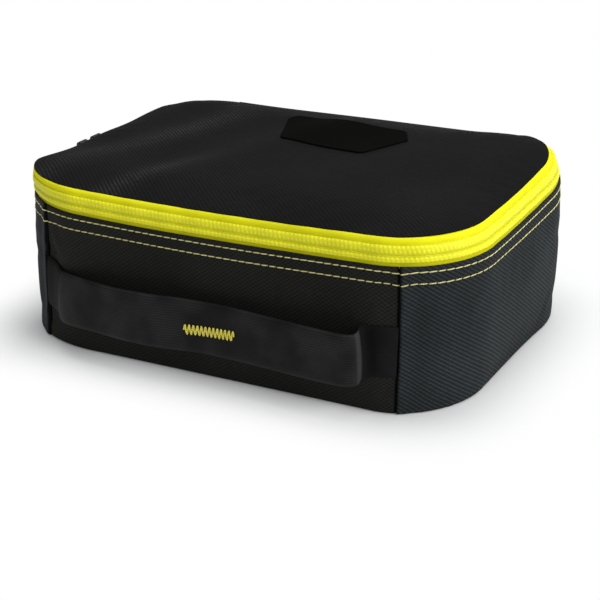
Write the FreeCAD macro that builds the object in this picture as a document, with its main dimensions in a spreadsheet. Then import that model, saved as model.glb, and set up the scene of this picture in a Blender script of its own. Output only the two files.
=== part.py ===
import FreeCAD, Part
import math
import os

import Sketcher

# A soft fire-resistant charging and carrying bag for flat battery packs. All sizes in millimetres.
# Origin: centre of the underside. +X: along the long side. -Y: the side with the carry handle.
# +Y: the side where the lid folds. +Z: up.

SIZES = [
    ("bag_width", 250.0, "outside length of the bag, along X"),
    ("bag_depth", 165.0, "outside depth of the bag, along Y"),
    ("corner_radius", 46.0, "outside radius of the four upright corners"),
    ("wall_height", 71.0, "top of the outer wall fabric, where the zip begins"),
    ("band_rise", 11.0, "height of the leaning zip band"),
    ("band_inset", 6.0, "how far the top of the zip band leans in"),
    ("lid_crown", 4.0, "rise of the lid's middle above the zip band"),
    ("lid_shoulder", 14.0, "width of the sloping edge of the lid"),
    ("skin_thickness", 1.2, "outer woven fabric"),
    ("foam_thickness", 4.0, "padding of the wall"),
    ("base_foam_thickness", 3.0, "padding of the floor"),
    ("liner_thickness", 0.8, "coated fire-resistant inner fabric"),
    ("layer_gap", 0.1, "between two layers of one sandwich"),
    ("seam_past_corner", 18.0, "corner seams past the start of the rounded corners, along X"),
    ("rim_width", 5.8, "width of the tape that binds the wall's top edge"),
    ("rim_thickness", 1.2, "thickness of that tape"),
    ("rim_drop", 0.7, "top of the rim tape below the top of the outer fabric"),
    ("lid_binding_width", 2.2, "width of the tape that binds the lid's inner edge"),
    ("lid_binding_height", 2.4, "height of that tape"),
    ("lid_inner_drop", 3.4, "underside of the lid's binding below the top of the zip band"),
    ("tape_thickness", 0.7, "zip tape"),
    ("coil_height", 1.3, "zip coil above its tape"),
    ("coil_width", 2.9, "width of one half of the zip coil"),
    ("coil_gap", 1.4, "slot between the two halves of the zip"),
    ("zip_middle", 6.0, "middle of the slot above the lower edge of the zip band"),
    ("end_cover_length", 8.0, "fabric tab over each end of the zip"),
    ("slider_length", 11.0, "length of a zip slider"),
    ("slider_pair_gap", 0.8, "between the two sliders when the bag is closed"),
    ("slider_plate", 0.8, "thickness of a slider plate"),
    ("slider_clearance", 0.35, "between a slider and the zip"),
    ("slider_neck", 0.8, "web that joins the two plates of a slider"),
    ("slider_flare", 0.545, "outward slope of the slider's upper lip"),
    ("bail_radius", 0.8, "bar that the pull hangs on"),
    ("bail_height", 5.5, "middle of that bar above the tape"),
    ("bail_post", 1.0, "thickness of each post of the bail"),
    ("pull_clearance", 0.25, "between the pull and its bail"),
    ("pull_eye_length", 6.0, "length of the pull's eye, along the bar"),
    ("pull_eye_wall", 0.85, "wall of the pull's eye"),
    ("pull_width", 8.0, "width of the pull"),
    ("pull_length", 24.0, "length of the pull below its bar"),
    ("pull_thickness", 1.4, "thickness of the pull"),
    ("pull_shoulder", 3.4, "start of the pull's full width below its bar"),
    ("webbing_width", 25.0, "carry handle webbing"),
    ("webbing_thickness", 1.6, "carry handle webbing"),
    ("handle_height", 31.0, "middle of the handle above the floor"),
    ("handle_stand_off", 14.5, "hand gap between the front and the handle"),
    ("tab_length", 12.0, "sewn end of the handle, along X"),
    ("left_loop_run", 19.0, "free webbing between the left tab and the straight part, along X"),
    ("right_loop_run", 5.0, "free webbing between the right tab and the straight part, along X"),
    ("loop_clearance", 0.3, "between the loops of the handle and what they meet"),
    ("bartack_width", 28.0, "zigzag reinforcement stitching on the handle"),
    ("bartack_height", 7.0, "height of that stitching"),
    ("bartack_thickness", 0.5, "thickness of that stitching"),
    ("patch_from_back", 23.5, "back edge of the lid patch from the bag's back"),
    ("patch_shift", 4.0, "middle of the lid patch to the right of the lid's middle"),
    ("patch_depth", 40.0, "depth of the lid patch"),
    ("patch_side", 12.0, "straight part of the patch's side"),
    ("patch_back_width", 76.0, "width of the patch at its back"),
    ("patch_front_width", 50.0, "width of the patch at its front"),
    ("patch_corner", 4.0, "cut corner of the patch"),
    ("patch_thickness", 0.8, "thickness of the patch"),
]

doc = FreeCAD.newDocument("LipoSafeBag")
sheet = doc.addObject("Spreadsheet::Sheet", "Sizes")
for row, (alias, number, meaning) in enumerate(SIZES, start=1):
    sheet.set(f"A{row}", meaning)
    sheet.set(f"B{row}", str(number))
    sheet.setAlias(f"B{row}", alias)
doc.recompute()

SUB_PARTS = []

# ---------------------------------------------------------------- expressions from the sheet

WALL_TOP = "Sizes.wall_height"
BAND_TOP = "(Sizes.wall_height + Sizes.band_rise)"
BAND_LENGTH = "sqrt(Sizes.band_rise ^ 2 + Sizes.band_inset ^ 2)"
LEAN = f"(Sizes.band_inset / {BAND_LENGTH})"
RISE = f"(Sizes.band_rise / {BAND_LENGTH})"
CORNER_X = "(Sizes.bag_width / 2 - Sizes.corner_radius)"
CORNER_Y = "(Sizes.bag_depth / 2 - Sizes.corner_radius)"
SEAM_REACH = f"({CORNER_X} + Sizes.seam_past_corner)"
TAB_REACH = f"({SEAM_REACH} - Sizes.tab_length)"
GRIP_LEFT = f"({TAB_REACH} - Sizes.left_loop_run)"
GRIP_RIGHT = f"({TAB_REACH} - Sizes.right_loop_run)"
FLOOR_TOP = "(Sizes.skin_thickness + Sizes.layer_gap)"
FOAM_OUT = "(Sizes.skin_thickness + Sizes.layer_gap)"
FOAM_IN = f"({FOAM_OUT} + Sizes.foam_thickness)"
LINER_OUT = f"({FOAM_IN} + Sizes.layer_gap)"
SKIN_TOP = f"({WALL_TOP} - Sizes.tape_thickness * {LEAN} - Sizes.layer_gap)"
LINER_IN = f"({LINER_OUT} + Sizes.liner_thickness)"
RIM_TOP = f"({WALL_TOP} - Sizes.rim_drop)"
RIM_BOTTOM = f"({RIM_TOP} - Sizes.rim_thickness)"
LAYERS_TOP = f"({RIM_BOTTOM} - Sizes.layer_gap)"
BASE_LINER_BOTTOM = f"({FLOOR_TOP} + Sizes.base_foam_thickness + Sizes.layer_gap)"
BASE_LINER_TOP = f"({BASE_LINER_BOTTOM} + Sizes.liner_thickness)"
LID_TOP = f"({BAND_TOP} + Sizes.lid_crown)"
LID_INNER = f"({BAND_TOP} - Sizes.lid_inner_drop)"
LID_BINDING_OUT = "(Sizes.band_inset + Sizes.tape_thickness + Sizes.slider_clearance)"
LID_BINDING_IN = f"({LID_BINDING_OUT} + Sizes.lid_binding_width)"
LID_LAYER_OUT = f"({LID_BINDING_IN} + Sizes.layer_gap)"
FRONT = "(-Sizes.bag_depth / 2)"
HANDLE_BOTTOM = "(Sizes.handle_height - Sizes.webbing_width / 2)"
GRIP_BACK = f"({FRONT} - Sizes.handle_stand_off)"
BAND_SLOT_LOW = "(Sizes.zip_middle - Sizes.coil_gap / 2)"
BAND_SLOT_HIGH = "(Sizes.zip_middle + Sizes.coil_gap / 2)"


def value(expression):
    """Number that an expression gives now."""
    result = sheet.evalExpression(expression)
    return float(getattr(result, "Value", result))


def back_band_point(along, out):
    """(Y, Z) on the back's leaning zip band: distance up the band, distance out from its face."""
    return (
        f"Sizes.bag_depth / 2 - ({along}) * {LEAN} + ({out}) * {RISE}",
        f"Sizes.wall_height + ({along}) * {RISE} + ({out}) * {LEAN}",
    )


def left_band_point(along, out):
    """(X, Z) on the left side's leaning zip band."""
    return (
        f"-Sizes.bag_width / 2 + ({along}) * {LEAN} - ({out}) * {RISE}",
        f"Sizes.wall_height + ({along}) * {RISE} + ({out}) * {LEAN}",
    )


# ---------------------------------------------------------------- sketches

def new_body(name):
    body = doc.addObject("PartDesign::Body", name)
    body.Label = name
    SUB_PARTS.append(body)
    return body


def new_sketch(body, plane, offset="0"):
    """Sketch on one of the body's own origin planes, moved along the plane's normal."""
    sketch = body.newObject("Sketcher::SketchObject", f"{body.Name}_sketch")
    origin_plane = next(item for item in body.Origin.OriginFeatures if item.Role == f"{plane}_Plane")
    sketch.AttachmentSupport = [(origin_plane, "")]
    sketch.MapMode = "FlatFace"
    sketch.setExpression("AttachmentOffset.Base.z", offset)
    return sketch


def bind(sketch, kind, *where, to):
    """Add one dimension and bind it to an expression."""
    index = sketch.addConstraint(Sketcher.Constraint(kind, *where, value(to)))
    sketch.setExpression(f"Constraints[{index}]", to)


def bind_point(sketch, geometry, end, point):
    bind(sketch, "DistanceX", -1, 1, geometry, end, to=point[0])
    bind(sketch, "DistanceY", -1, 1, geometry, end, to=point[1])


def draw_polygon(sketch, points):
    """Closed outline through points given as pairs of expressions."""
    spots = [FreeCAD.Vector(value(x), value(y), 0) for x, y in points]
    lines = [
        sketch.addGeometry(Part.LineSegment(spots[i], spots[(i + 1) % len(spots)]), False)
        for i in range(len(spots))
    ]
    for i, line in enumerate(lines):
        sketch.addConstraint(Sketcher.Constraint("Coincident", line, 2, lines[(i + 1) % len(lines)], 1))
        bind_point(sketch, line, 1, points[i])


def draw_circle(sketch, centre, radius):
    spot = FreeCAD.Vector(value(centre[0]), value(centre[1]), 0)
    circle = sketch.addGeometry(Part.Circle(spot, FreeCAD.Vector(0, 0, 1), value(radius)), False)
    bind_point(sketch, circle, 3, centre)
    bind(sketch, "Radius", circle, to=radius)


def draw_outline(sketch, inset):
    """Plan of the bag with rounded corners, moved inwards by the inset."""
    x, y, r = value(CORNER_X), value(CORNER_Y), value(f"Sizes.corner_radius - {inset}")
    corners = [(x, y, 0.0), (-x, y, 90.0), (-x, -y, 180.0), (x, -y, 270.0)]
    arcs, lines = [], []
    for cx, cy, start in corners:
        circle = Part.Circle(FreeCAD.Vector(cx, cy, 0), FreeCAD.Vector(0, 0, 1), r)
        arc = Part.ArcOfCircle(circle, math.radians(start), math.radians(start + 90.0))
        arcs.append(sketch.addGeometry(arc, False))
    for i in range(4):
        start = sketch.getPoint(arcs[i], 2)
        end = sketch.getPoint(arcs[(i + 1) % 4], 1)
        lines.append(sketch.addGeometry(Part.LineSegment(start, end), False))
    for i in range(4):
        sketch.addConstraint(Sketcher.Constraint("Tangent", arcs[i], 2, lines[i], 1))
        sketch.addConstraint(Sketcher.Constraint("Tangent", lines[i], 2, arcs[(i + 1) % 4], 1))
    signs = [("", ""), ("-", ""), ("-", "-"), ("", "-")]
    for arc, (sign_x, sign_y) in zip(arcs, signs):
        bind_point(sketch, arc, 3, (f"{sign_x}{CORNER_X}", f"{sign_y}{CORNER_Y}"))
    bind(sketch, "Radius", arcs[0], to=f"Sizes.corner_radius - {inset}")
    for arc in arcs[1:]:
        sketch.addConstraint(Sketcher.Constraint("Equal", arcs[0], arc))


def draw_zip_path(sketch):
    """Open path of the zip: from the back's left end round the left side, front and right side."""
    x, y, r = value(CORNER_X), value(CORNER_Y), value("Sizes.corner_radius")
    corners = [(-x, y, 90.0), (-x, -y, 180.0), (x, -y, 270.0), (x, y, 0.0)]
    arcs, lines = [], []
    for cx, cy, start in corners:
        circle = Part.Circle(FreeCAD.Vector(cx, cy, 0), FreeCAD.Vector(0, 0, 1), r)
        arc = Part.ArcOfCircle(circle, math.radians(start), math.radians(start + 90.0))
        arcs.append(sketch.addGeometry(arc, False))
    for i in range(3):
        start = sketch.getPoint(arcs[i], 2)
        end = sketch.getPoint(arcs[i + 1], 1)
        lines.append(sketch.addGeometry(Part.LineSegment(start, end), False))
    for i in range(3):
        sketch.addConstraint(Sketcher.Constraint("Tangent", arcs[i], 2, lines[i], 1))
        sketch.addConstraint(Sketcher.Constraint("Tangent", lines[i], 2, arcs[i + 1], 1))
    signs = [("-", ""), ("-", "-"), ("", "-"), ("", "")]
    for arc, (sign_x, sign_y) in zip(arcs, signs):
        bind_point(sketch, arc, 3, (f"{sign_x}{CORNER_X}", f"{sign_y}{CORNER_Y}"))
    bind(sketch, "Radius", arcs[0], to="Sizes.corner_radius")
    for arc in arcs[1:]:
        sketch.addConstraint(Sketcher.Constraint("Equal", arcs[0], arc))
    bind(sketch, "DistanceX", -1, 1, arcs[0], 1, to=f"-{CORNER_X}")
    bind(sketch, "DistanceX", -1, 1, arcs[3], 2, to=CORNER_X)


# ---------------------------------------------------------------- features

def pad(body, sketch, length, middle=False):
    feature = body.newObject("PartDesign::Pad", f"{body.Name}_pad")
    feature.Profile = sketch
    feature.setExpression("Length", length)
    if middle:
        feature.SideType = "Symmetric"
    return feature


def plate(name, inset, bottom, height):
    """Flat layer with the plan of the bag."""
    body = new_body(name)
    sketch = new_sketch(body, "XY", bottom)
    draw_outline(sketch, inset)
    pad(body, sketch, height)
    return body


def ring(name, outer_inset, inner_inset, bottom, height):
    """Closed wall that follows the plan of the bag."""
    body = new_body(name)
    sketch = new_sketch(body, "XY", bottom)
    draw_outline(sketch, outer_inset)
    draw_outline(sketch, inner_inset)
    pad(body, sketch, height)
    return body


def loft(body, kind, low_inset, low_height, high_inset, high_height):
    low = new_sketch(body, "XY", low_height)
    draw_outline(low, low_inset)
    high = new_sketch(body, "XY", high_height)
    draw_outline(high, high_inset)
    feature = body.newObject(f"PartDesign::{kind}Loft", f"{body.Name}_loft")
    feature.Profile = low
    feature.Sections = [high]
    feature.Ruled = True
    return feature


def zip_strip(name, points):
    """Strip with one section that runs the whole length of the zip."""
    body = new_body(name)
    path = new_sketch(body, "XY")
    draw_zip_path(path)
    section = new_sketch(body, "YZ", f"-{CORNER_X}")
    draw_polygon(section, [back_band_point(*point) for point in points])
    pipe = body.newObject("PartDesign::AdditivePipe", f"{name}_pipe")
    pipe.Profile = section
    pipe.Spine = (path, [])
    return body


def back_strip(name, points, length, middle_x="0"):
    """Straight strip along the back, centred on middle_x."""
    body = new_body(name)
    section = new_sketch(body, "YZ", middle_x)
    draw_polygon(section, [back_band_point(*point) for point in points])
    pad(body, section, length, middle=True)
    return body


# ---------------------------------------------------------------- floor and walls

def make_floor():
    plate("base_panel", "0", "0", "Sizes.skin_thickness")
    plate("base_foam", FOAM_IN, FLOOR_TOP, "Sizes.base_foam_thickness")
    plate("base_liner", FOAM_IN, BASE_LINER_BOTTOM, "Sizes.liner_thickness")


def make_skin(name, front):
    """Outer fabric: the front piece between the corner seams, or the piece that wraps the rest."""
    height = f"({SKIN_TOP} - {FLOOR_TOP})"
    body = ring(name, "0", "Sizes.skin_thickness", FLOOR_TOP, height)
    doc.recompute()
    cutter = new_sketch(body, "XY", FLOOR_TOP)
    reach = SEAM_REACH
    edge = "Sizes.bag_width"
    if front:
        corners = [
            (f"-{edge}", edge), (f"-{edge}", f"-{edge}"), (f"-{reach}", f"-{edge}"), (f"-{reach}", "0"),
            (reach, "0"), (reach, f"-{edge}"), (edge, f"-{edge}"), (edge, edge),
        ]
    else:
        corners = [(f"-{reach}", f"-{edge}"), (reach, f"-{edge}"), (reach, "0"), (f"-{reach}", "0")]
    draw_polygon(cutter, corners)
    pocket = body.newObject("PartDesign::Pocket", f"{name}_pocket")
    pocket.Profile = cutter
    pocket.Reversed = True
    pocket.setExpression("Length", height)


def make_walls():
    make_skin("front_panel", front=True)
    make_skin("side_wrap_panel", front=False)
    ring("wall_foam", FOAM_OUT, FOAM_IN, FLOOR_TOP, f"({LAYERS_TOP} - {FLOOR_TOP})")
    liner_bottom = f"({BASE_LINER_TOP} + Sizes.layer_gap)"
    ring("wall_liner", LINER_OUT, LINER_IN, liner_bottom, f"({LAYERS_TOP} - {liner_bottom})")
    ring("rim_binding", FOAM_OUT, f"({FOAM_OUT} + Sizes.rim_width)", RIM_BOTTOM, "Sizes.rim_thickness")


# ---------------------------------------------------------------- zip

def make_zip():
    tape_in = "-Sizes.tape_thickness"
    coil_low = f"({BAND_SLOT_LOW} - Sizes.coil_width)"
    coil_high = f"({BAND_SLOT_HIGH} + Sizes.coil_width)"
    lower = [("0", "0"), (BAND_SLOT_LOW, "0"), (BAND_SLOT_LOW, tape_in), ("0", tape_in)]
    upper = [(BAND_SLOT_HIGH, "0"), (BAND_LENGTH, "0"), (BAND_LENGTH, tape_in), (BAND_SLOT_HIGH, tape_in)]
    height = "Sizes.coil_height"
    lower_coil = [(coil_low, "0"), (BAND_SLOT_LOW, "0"), (BAND_SLOT_LOW, height), (coil_low, height)]
    upper_coil = [(BAND_SLOT_HIGH, "0"), (coil_high, "0"), (coil_high, height), (BAND_SLOT_HIGH, height)]
    zip_strip("lower_zip_tape", lower)
    zip_strip("upper_zip_tape", upper)
    zip_strip("lower_zip_coil", lower_coil)
    zip_strip("upper_zip_coil", upper_coil)
    length = f"(2 * {CORNER_X} - 2 * Sizes.layer_gap)"
    back_strip("back_rim_strip", lower, length)
    back_strip("lid_hinge_strip", upper, length)
    cover = [
        (coil_low, "Sizes.layer_gap"),
        (BAND_SLOT_LOW, "Sizes.layer_gap"),
        (BAND_SLOT_LOW, "Sizes.layer_gap + Sizes.tape_thickness"),
        (coil_low, "Sizes.layer_gap + Sizes.tape_thickness"),
    ]
    middle = f"({CORNER_X} - Sizes.layer_gap - Sizes.end_cover_length / 2)"
    back_strip("zip_end_cover_left", cover, "Sizes.end_cover_length", f"-{middle}")
    back_strip("zip_end_cover_right", cover, "Sizes.end_cover_length", middle)


def make_slider(name, pull_name, direction):
    """Slider and its hanging pull on the left side; direction is -1 at the front, 1 at the back."""
    middle = f"({direction} * (Sizes.slider_length + Sizes.slider_pair_gap) / 2)"
    body = new_body(name)
    sketch = new_sketch(body, "XZ", f"-{middle}")
    low = f"({BAND_SLOT_LOW} - Sizes.coil_width + Sizes.slider_clearance)"
    high = f"({BAND_SLOT_HIGH} + Sizes.coil_width - Sizes.slider_clearance)"
    neck_low = "(Sizes.zip_middle - Sizes.slider_neck / 2)"
    neck_high = "(Sizes.zip_middle + Sizes.slider_neck / 2)"
    under = "(-Sizes.tape_thickness - Sizes.slider_clearance)"
    under_low = f"({under} - Sizes.slider_plate)"
    over = "(Sizes.coil_height + Sizes.slider_clearance)"
    over_high = f"({over} + Sizes.slider_plate)"
    lip = f"(({high} - {neck_high}) * Sizes.slider_flare)"
    section = [
        (low, under_low), (high, under_low), (high, under), (neck_high, under),
        (neck_high, over), (high, f"{over} + {lip}"), (high, f"{over_high} + {lip}"),
        (neck_high, over_high), (low, over_high), (low, over), (neck_low, over),
        (neck_low, under), (low, under),
    ]
    draw_polygon(sketch, [left_band_point(*point) for point in section])
    pad(body, sketch, "Sizes.slider_length", middle=True)
    doc.recompute()

    bar = left_band_point("Sizes.zip_middle", "Sizes.bail_height")
    eye_room = "(Sizes.pull_eye_length / 2 + Sizes.pull_clearance)"
    post_low = "(Sizes.zip_middle - Sizes.bail_radius)"
    post_high = "(Sizes.zip_middle + Sizes.bail_radius)"
    post_top = "(Sizes.bail_height + Sizes.bail_radius)"
    post = [
        (post_low, f"{over_high} - Sizes.slider_plate / 2"),
        (post_high, f"{over_high} - Sizes.slider_plate / 2"),
        (post_high, post_top),
        (post_low, post_top),
    ]
    for side in ("-", ""):
        sketch = new_sketch(body, "XZ", f"-{middle} + {side}({eye_room} + Sizes.bail_post / 2)")
        draw_polygon(sketch, [left_band_point(*point) for point in post])
        pad(body, sketch, "Sizes.bail_post", middle=True)
        doc.recompute()
    sketch = new_sketch(body, "XZ", f"-{middle}")
    draw_circle(sketch, bar, "Sizes.bail_radius")
    pad(body, sketch, f"2 * {eye_room} + Sizes.bail_post", middle=True)
    doc.recompute()

    pull = new_body(pull_name)
    eye_inner = "(Sizes.bail_radius + Sizes.pull_clearance)"
    eye_outer = f"({eye_inner} + Sizes.pull_eye_wall)"
    sketch = new_sketch(pull, "XZ", f"-{middle}")
    draw_circle(sketch, bar, eye_outer)
    pad(pull, sketch, "Sizes.pull_eye_length", middle=True)
    doc.recompute()
    left = f"{bar[0]} - Sizes.pull_thickness / 2"
    right = f"{bar[0]} + Sizes.pull_thickness / 2"
    shank_top = f"{bar[1]} - ({eye_inner} + {eye_outer}) / 2"
    shoulder = f"{bar[1]} - Sizes.pull_shoulder"
    tip = f"{bar[1]} - Sizes.pull_length"
    sketch = new_sketch(pull, "XZ", f"-{middle}")
    draw_polygon(sketch, [(left, shoulder), (right, shoulder), (right, shank_top), (left, shank_top)])
    pad(pull, sketch, "Sizes.pull_eye_length", middle=True)
    doc.recompute()
    sketch = new_sketch(pull, "XZ", f"-{middle}")
    draw_polygon(sketch, [(left, tip), (right, tip), (right, shoulder), (left, shoulder)])
    pad(pull, sketch, "Sizes.pull_width", middle=True)
    doc.recompute()
    sketch = new_sketch(pull, "XZ", f"-{middle}")
    draw_circle(sketch, bar, eye_inner)
    bore = pull.newObject("PartDesign::Pocket", f"{pull_name}_bore")
    bore.Profile = sketch
    bore.SideType = "Symmetric"
    bore.setExpression("Length", "Sizes.pull_width")


# ---------------------------------------------------------------- lid

def make_lid():
    panel = new_body("lid_panel")
    shoulder = "(Sizes.band_inset + Sizes.lid_shoulder)"
    loft(panel, "Additive", "Sizes.band_inset", BAND_TOP, shoulder, LID_TOP)
    doc.recompute()
    under_low = f"({BAND_TOP} - Sizes.skin_thickness)"
    under_high = f"({LID_TOP} - Sizes.skin_thickness)"
    loft(panel, "Subtractive", "Sizes.band_inset", under_low, shoulder, under_high)
    doc.recompute()

    liner_bottom = f"({LID_INNER} + Sizes.layer_gap)"
    foam_bottom = f"({liner_bottom} + Sizes.liner_thickness + Sizes.layer_gap)"
    foam = new_body("lid_foam")
    loft(foam, "Additive", LID_LAYER_OUT, foam_bottom, shoulder, f"({under_high} - Sizes.layer_gap)")
    plate("lid_liner", LID_LAYER_OUT, liner_bottom, "Sizes.liner_thickness")
    ring("lid_binding", LID_BINDING_OUT, LID_BINDING_IN, LID_INNER, "Sizes.lid_binding_height")

    patch = new_body("lid_patch")
    sketch = new_sketch(patch, "XY", f"({LID_TOP} + Sizes.layer_gap)")
    wide = "Sizes.patch_back_width / 2"
    narrow = "Sizes.patch_front_width / 2"
    back = "(Sizes.bag_depth / 2 - Sizes.patch_from_back)"
    front = f"({back} - Sizes.patch_depth)"
    cut = "Sizes.patch_corner"
    right = [
        (f"{wide} - {cut}", back),
        (wide, f"{back} - {cut}"),
        (wide, f"{back} - Sizes.patch_side"),
        (f"{narrow} + {cut} / 2", f"{front} + {cut}"),
        (f"{narrow} - {cut} / 2", front),
    ]
    outline = [(f"Sizes.patch_shift + ({x})", y) for x, y in right]
    outline += [(f"Sizes.patch_shift - ({x})", y) for x, y in reversed(right)]
    draw_polygon(sketch, outline)
    pad(patch, sketch, "Sizes.patch_thickness")


# ---------------------------------------------------------------- carry handle

def make_box(name, low, size):
    box = doc.addObject("Part::Box", name)
    box.Label = name
    for axis, start in zip("xyz", low):
        box.setExpression(f"Placement.Base.{axis}", start)
    for side, length in zip(("Length", "Width", "Height"), size):
        box.setExpression(side, length)
    SUB_PARTS.append(box)
    return box


def make_handle():
    grip_front = f"({GRIP_BACK} - Sizes.webbing_thickness)"
    grip_length = f"{GRIP_LEFT} + {GRIP_RIGHT}"
    make_box(
        "handle_grip",
        (f"-{GRIP_LEFT}", grip_front, HANDLE_BOTTOM),
        (grip_length, "Sizes.webbing_thickness", "Sizes.webbing_width"),
    )
    make_box(
        "handle_bartack",
        (
            "-Sizes.bartack_width / 2",
            f"{grip_front} - Sizes.bartack_thickness",
            "Sizes.handle_height - Sizes.bartack_height / 2",
        ),
        ("Sizes.bartack_width", "Sizes.bartack_thickness", "Sizes.bartack_height"),
    )
    make_tab("handle_tab_left", left=True)
    make_tab("handle_tab_right", left=False)
    make_loop("handle_loop_left", "-", GRIP_LEFT)
    make_loop("handle_loop_right", "", GRIP_RIGHT)


def tab_angle(reach):
    """Angle round the corner, from straight ahead, of a point that far from the middle."""
    return f"asin(({reach} - {CORNER_X}) / Sizes.corner_radius)"


def make_tab(name, left):
    """Sewn end of the handle: it follows the corner from the loop to the corner seam."""
    first = tab_angle(TAB_REACH)
    last = tab_angle(SEAM_REACH)
    inner = "(Sizes.corner_radius + Sizes.layer_gap)"
    rings = []
    for part, radius in (("outer", f"{inner} + Sizes.webbing_thickness"), ("inner", inner)):
        cylinder = doc.addObject("Part::Cylinder", f"{name}_{part}")
        cylinder.setExpression("Radius", radius)
        cylinder.setExpression("Height", "Sizes.webbing_width")
        cylinder.setExpression("Angle", f"{last} - {first}")
        cylinder.setExpression("Placement.Base.x", f"-{CORNER_X}" if left else CORNER_X)
        cylinder.setExpression("Placement.Base.y", f"-{CORNER_Y}")
        cylinder.setExpression("Placement.Base.z", HANDLE_BOTTOM)
        cylinder.Placement.Rotation = FreeCAD.Rotation(FreeCAD.Vector(0, 0, 1), 1)
        start = f"270 deg - {last}" if left else f"270 deg + {first}"
        cylinder.setExpression("Placement.Rotation.Angle", start)
        rings.append(cylinder)
    tab = doc.addObject("Part::Cut", name)
    tab.Label = name
    tab.Base, tab.Tool = rings
    SUB_PARTS.append(tab)


def make_loop(name, sign, grip_reach):
    """Free webbing between a sewn tab and the straight grip."""
    clearance = "Sizes.loop_clearance"
    tab_drop = f"(Sizes.corner_radius * (1 - cos({tab_angle(TAB_REACH)})))"
    root = f"({FRONT} + {tab_drop} - Sizes.layer_gap - Sizes.webbing_thickness)"
    tip = f"({GRIP_BACK} - Sizes.webbing_thickness)"
    reach = f"({grip_reach} + {clearance})"
    thickness = "Sizes.webbing_thickness"
    outline = [
        (f"{sign}{TAB_REACH}", f"{root} - {clearance}"),
        (f"{sign}({TAB_REACH} + {thickness})", f"{root} - {clearance}"),
        (f"{sign}({reach} + {thickness})", f"{tip}"),
        (f"{sign}{reach}", f"{tip}"),
    ]
    body = new_body(name)
    sketch = new_sketch(body, "XY", HANDLE_BOTTOM)
    draw_polygon(sketch, outline)
    pad(body, sketch, "Sizes.webbing_width")


# ---------------------------------------------------------------- build, check and write

def check_document():
    doc.recompute()
    for item in doc.Objects:
        if {"Invalid", "Error"} & set(item.State):
            raise RuntimeError(f"{item.Name} failed: {item.State}")
    for part in SUB_PARTS:
        shape = part.Shape
        if shape.isNull() or not shape.isValid() or not shape.Solids:
            raise RuntimeError(f"{part.Label} has no valid solid")


def write_parts():
    os.makedirs("parts", exist_ok=True)
    for part in SUB_PARTS:
        part.Shape.exportStep(f"parts/{part.Label}.step")
        box = part.Shape.BoundBox
        print(
            f"{part.Label:22s} solids {len(part.Shape.Solids)} volume {part.Shape.Volume:10.1f} "
            f"x {box.XMin:7.2f} {box.XMax:7.2f} y {box.YMin:7.2f} {box.YMax:7.2f} "
            f"z {box.ZMin:6.2f} {box.ZMax:6.2f}"
        )


make_floor()
make_walls()
make_zip()
make_slider("front_slider", "front_pull", -1)
make_slider("rear_slider", "rear_pull", 1)
make_lid()
make_handle()
check_document()
write_parts()
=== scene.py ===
"""A soft fire-resistant bag for flat battery packs: walls, zip band, lid, handle, stage.

Shapes are worked out in millimetres and become metres as each mesh is made, in the frame of
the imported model.
"""
import math

import bpy
import numpy as np
from mathutils import Matrix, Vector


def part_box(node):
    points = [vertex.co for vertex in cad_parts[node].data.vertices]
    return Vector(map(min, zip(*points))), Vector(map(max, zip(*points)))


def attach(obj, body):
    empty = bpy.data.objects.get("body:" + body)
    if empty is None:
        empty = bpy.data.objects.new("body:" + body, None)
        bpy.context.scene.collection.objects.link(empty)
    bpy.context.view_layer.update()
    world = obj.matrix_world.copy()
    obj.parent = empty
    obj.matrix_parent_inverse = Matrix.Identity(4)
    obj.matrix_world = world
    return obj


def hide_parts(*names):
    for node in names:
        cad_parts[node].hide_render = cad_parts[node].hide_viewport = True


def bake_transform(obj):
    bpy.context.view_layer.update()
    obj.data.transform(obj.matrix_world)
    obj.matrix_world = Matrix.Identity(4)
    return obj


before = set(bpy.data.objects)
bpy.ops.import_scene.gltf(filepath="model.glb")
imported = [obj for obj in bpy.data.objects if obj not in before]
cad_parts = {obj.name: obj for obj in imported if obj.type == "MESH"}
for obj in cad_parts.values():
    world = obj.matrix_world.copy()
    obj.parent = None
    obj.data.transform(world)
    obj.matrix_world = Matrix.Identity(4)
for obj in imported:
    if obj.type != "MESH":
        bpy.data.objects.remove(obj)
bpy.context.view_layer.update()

bl_info = {
    "name": "Battery pack bag",
    "version": (1, 0, 0),
    "blender": (4, 5, 0),
    "location": "View3D > Sidebar > Battery bag",
    "description": "Builds the padded bag for battery packs round its solid frame",
    "category": "Add Mesh",
}


def cad(node):
    """Lowest and highest corner of a solid of the frame, in millimetres."""
    low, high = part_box(node)
    return np.array(low) * 1000.0, np.array(high) * 1000.0


# Places read from the frame, in millimetres.
HALF_X = cad("side_wrap_panel")[1][0]
HALF_Y = cad("side_wrap_panel")[1][1]
SEAM_X = cad("front_panel")[1][0]
WALL_TOP = cad("front_panel")[1][2]
BAND_TOP = cad("upper_zip_tape")[1][2]
BAND_INSET = HALF_Y - cad("lid_panel")[1][1]
STRIP_X = cad("back_rim_strip")[1][0]
COVER_X = cad("zip_end_cover_right")[0][0]
LINING_INSET = HALF_Y - cad("wall_liner")[1][1]
FLOOR_TOP = cad("base_liner")[1][2]
LID_UNDER = cad("lid_liner")[0][2]
GRIP_LOW, GRIP_HIGH = cad("handle_grip")
PATCH_LOW, PATCH_HIGH = cad("lid_patch")


# ---------------------------------------------------------------- sizes and colours

def length(name, text, metres):
    """A length a user may change."""
    return bpy.props.FloatProperty(name=name, description=text, default=metres,
                                   unit="LENGTH", subtype="DISTANCE", precision=5)


def colour(name, text, rgb):
    """A colour a user may change, as plain light values."""
    return bpy.props.FloatVectorProperty(name=name, description=text, default=rgb, size=3,
                                         min=0.0, max=1.0, subtype="COLOR")


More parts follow.
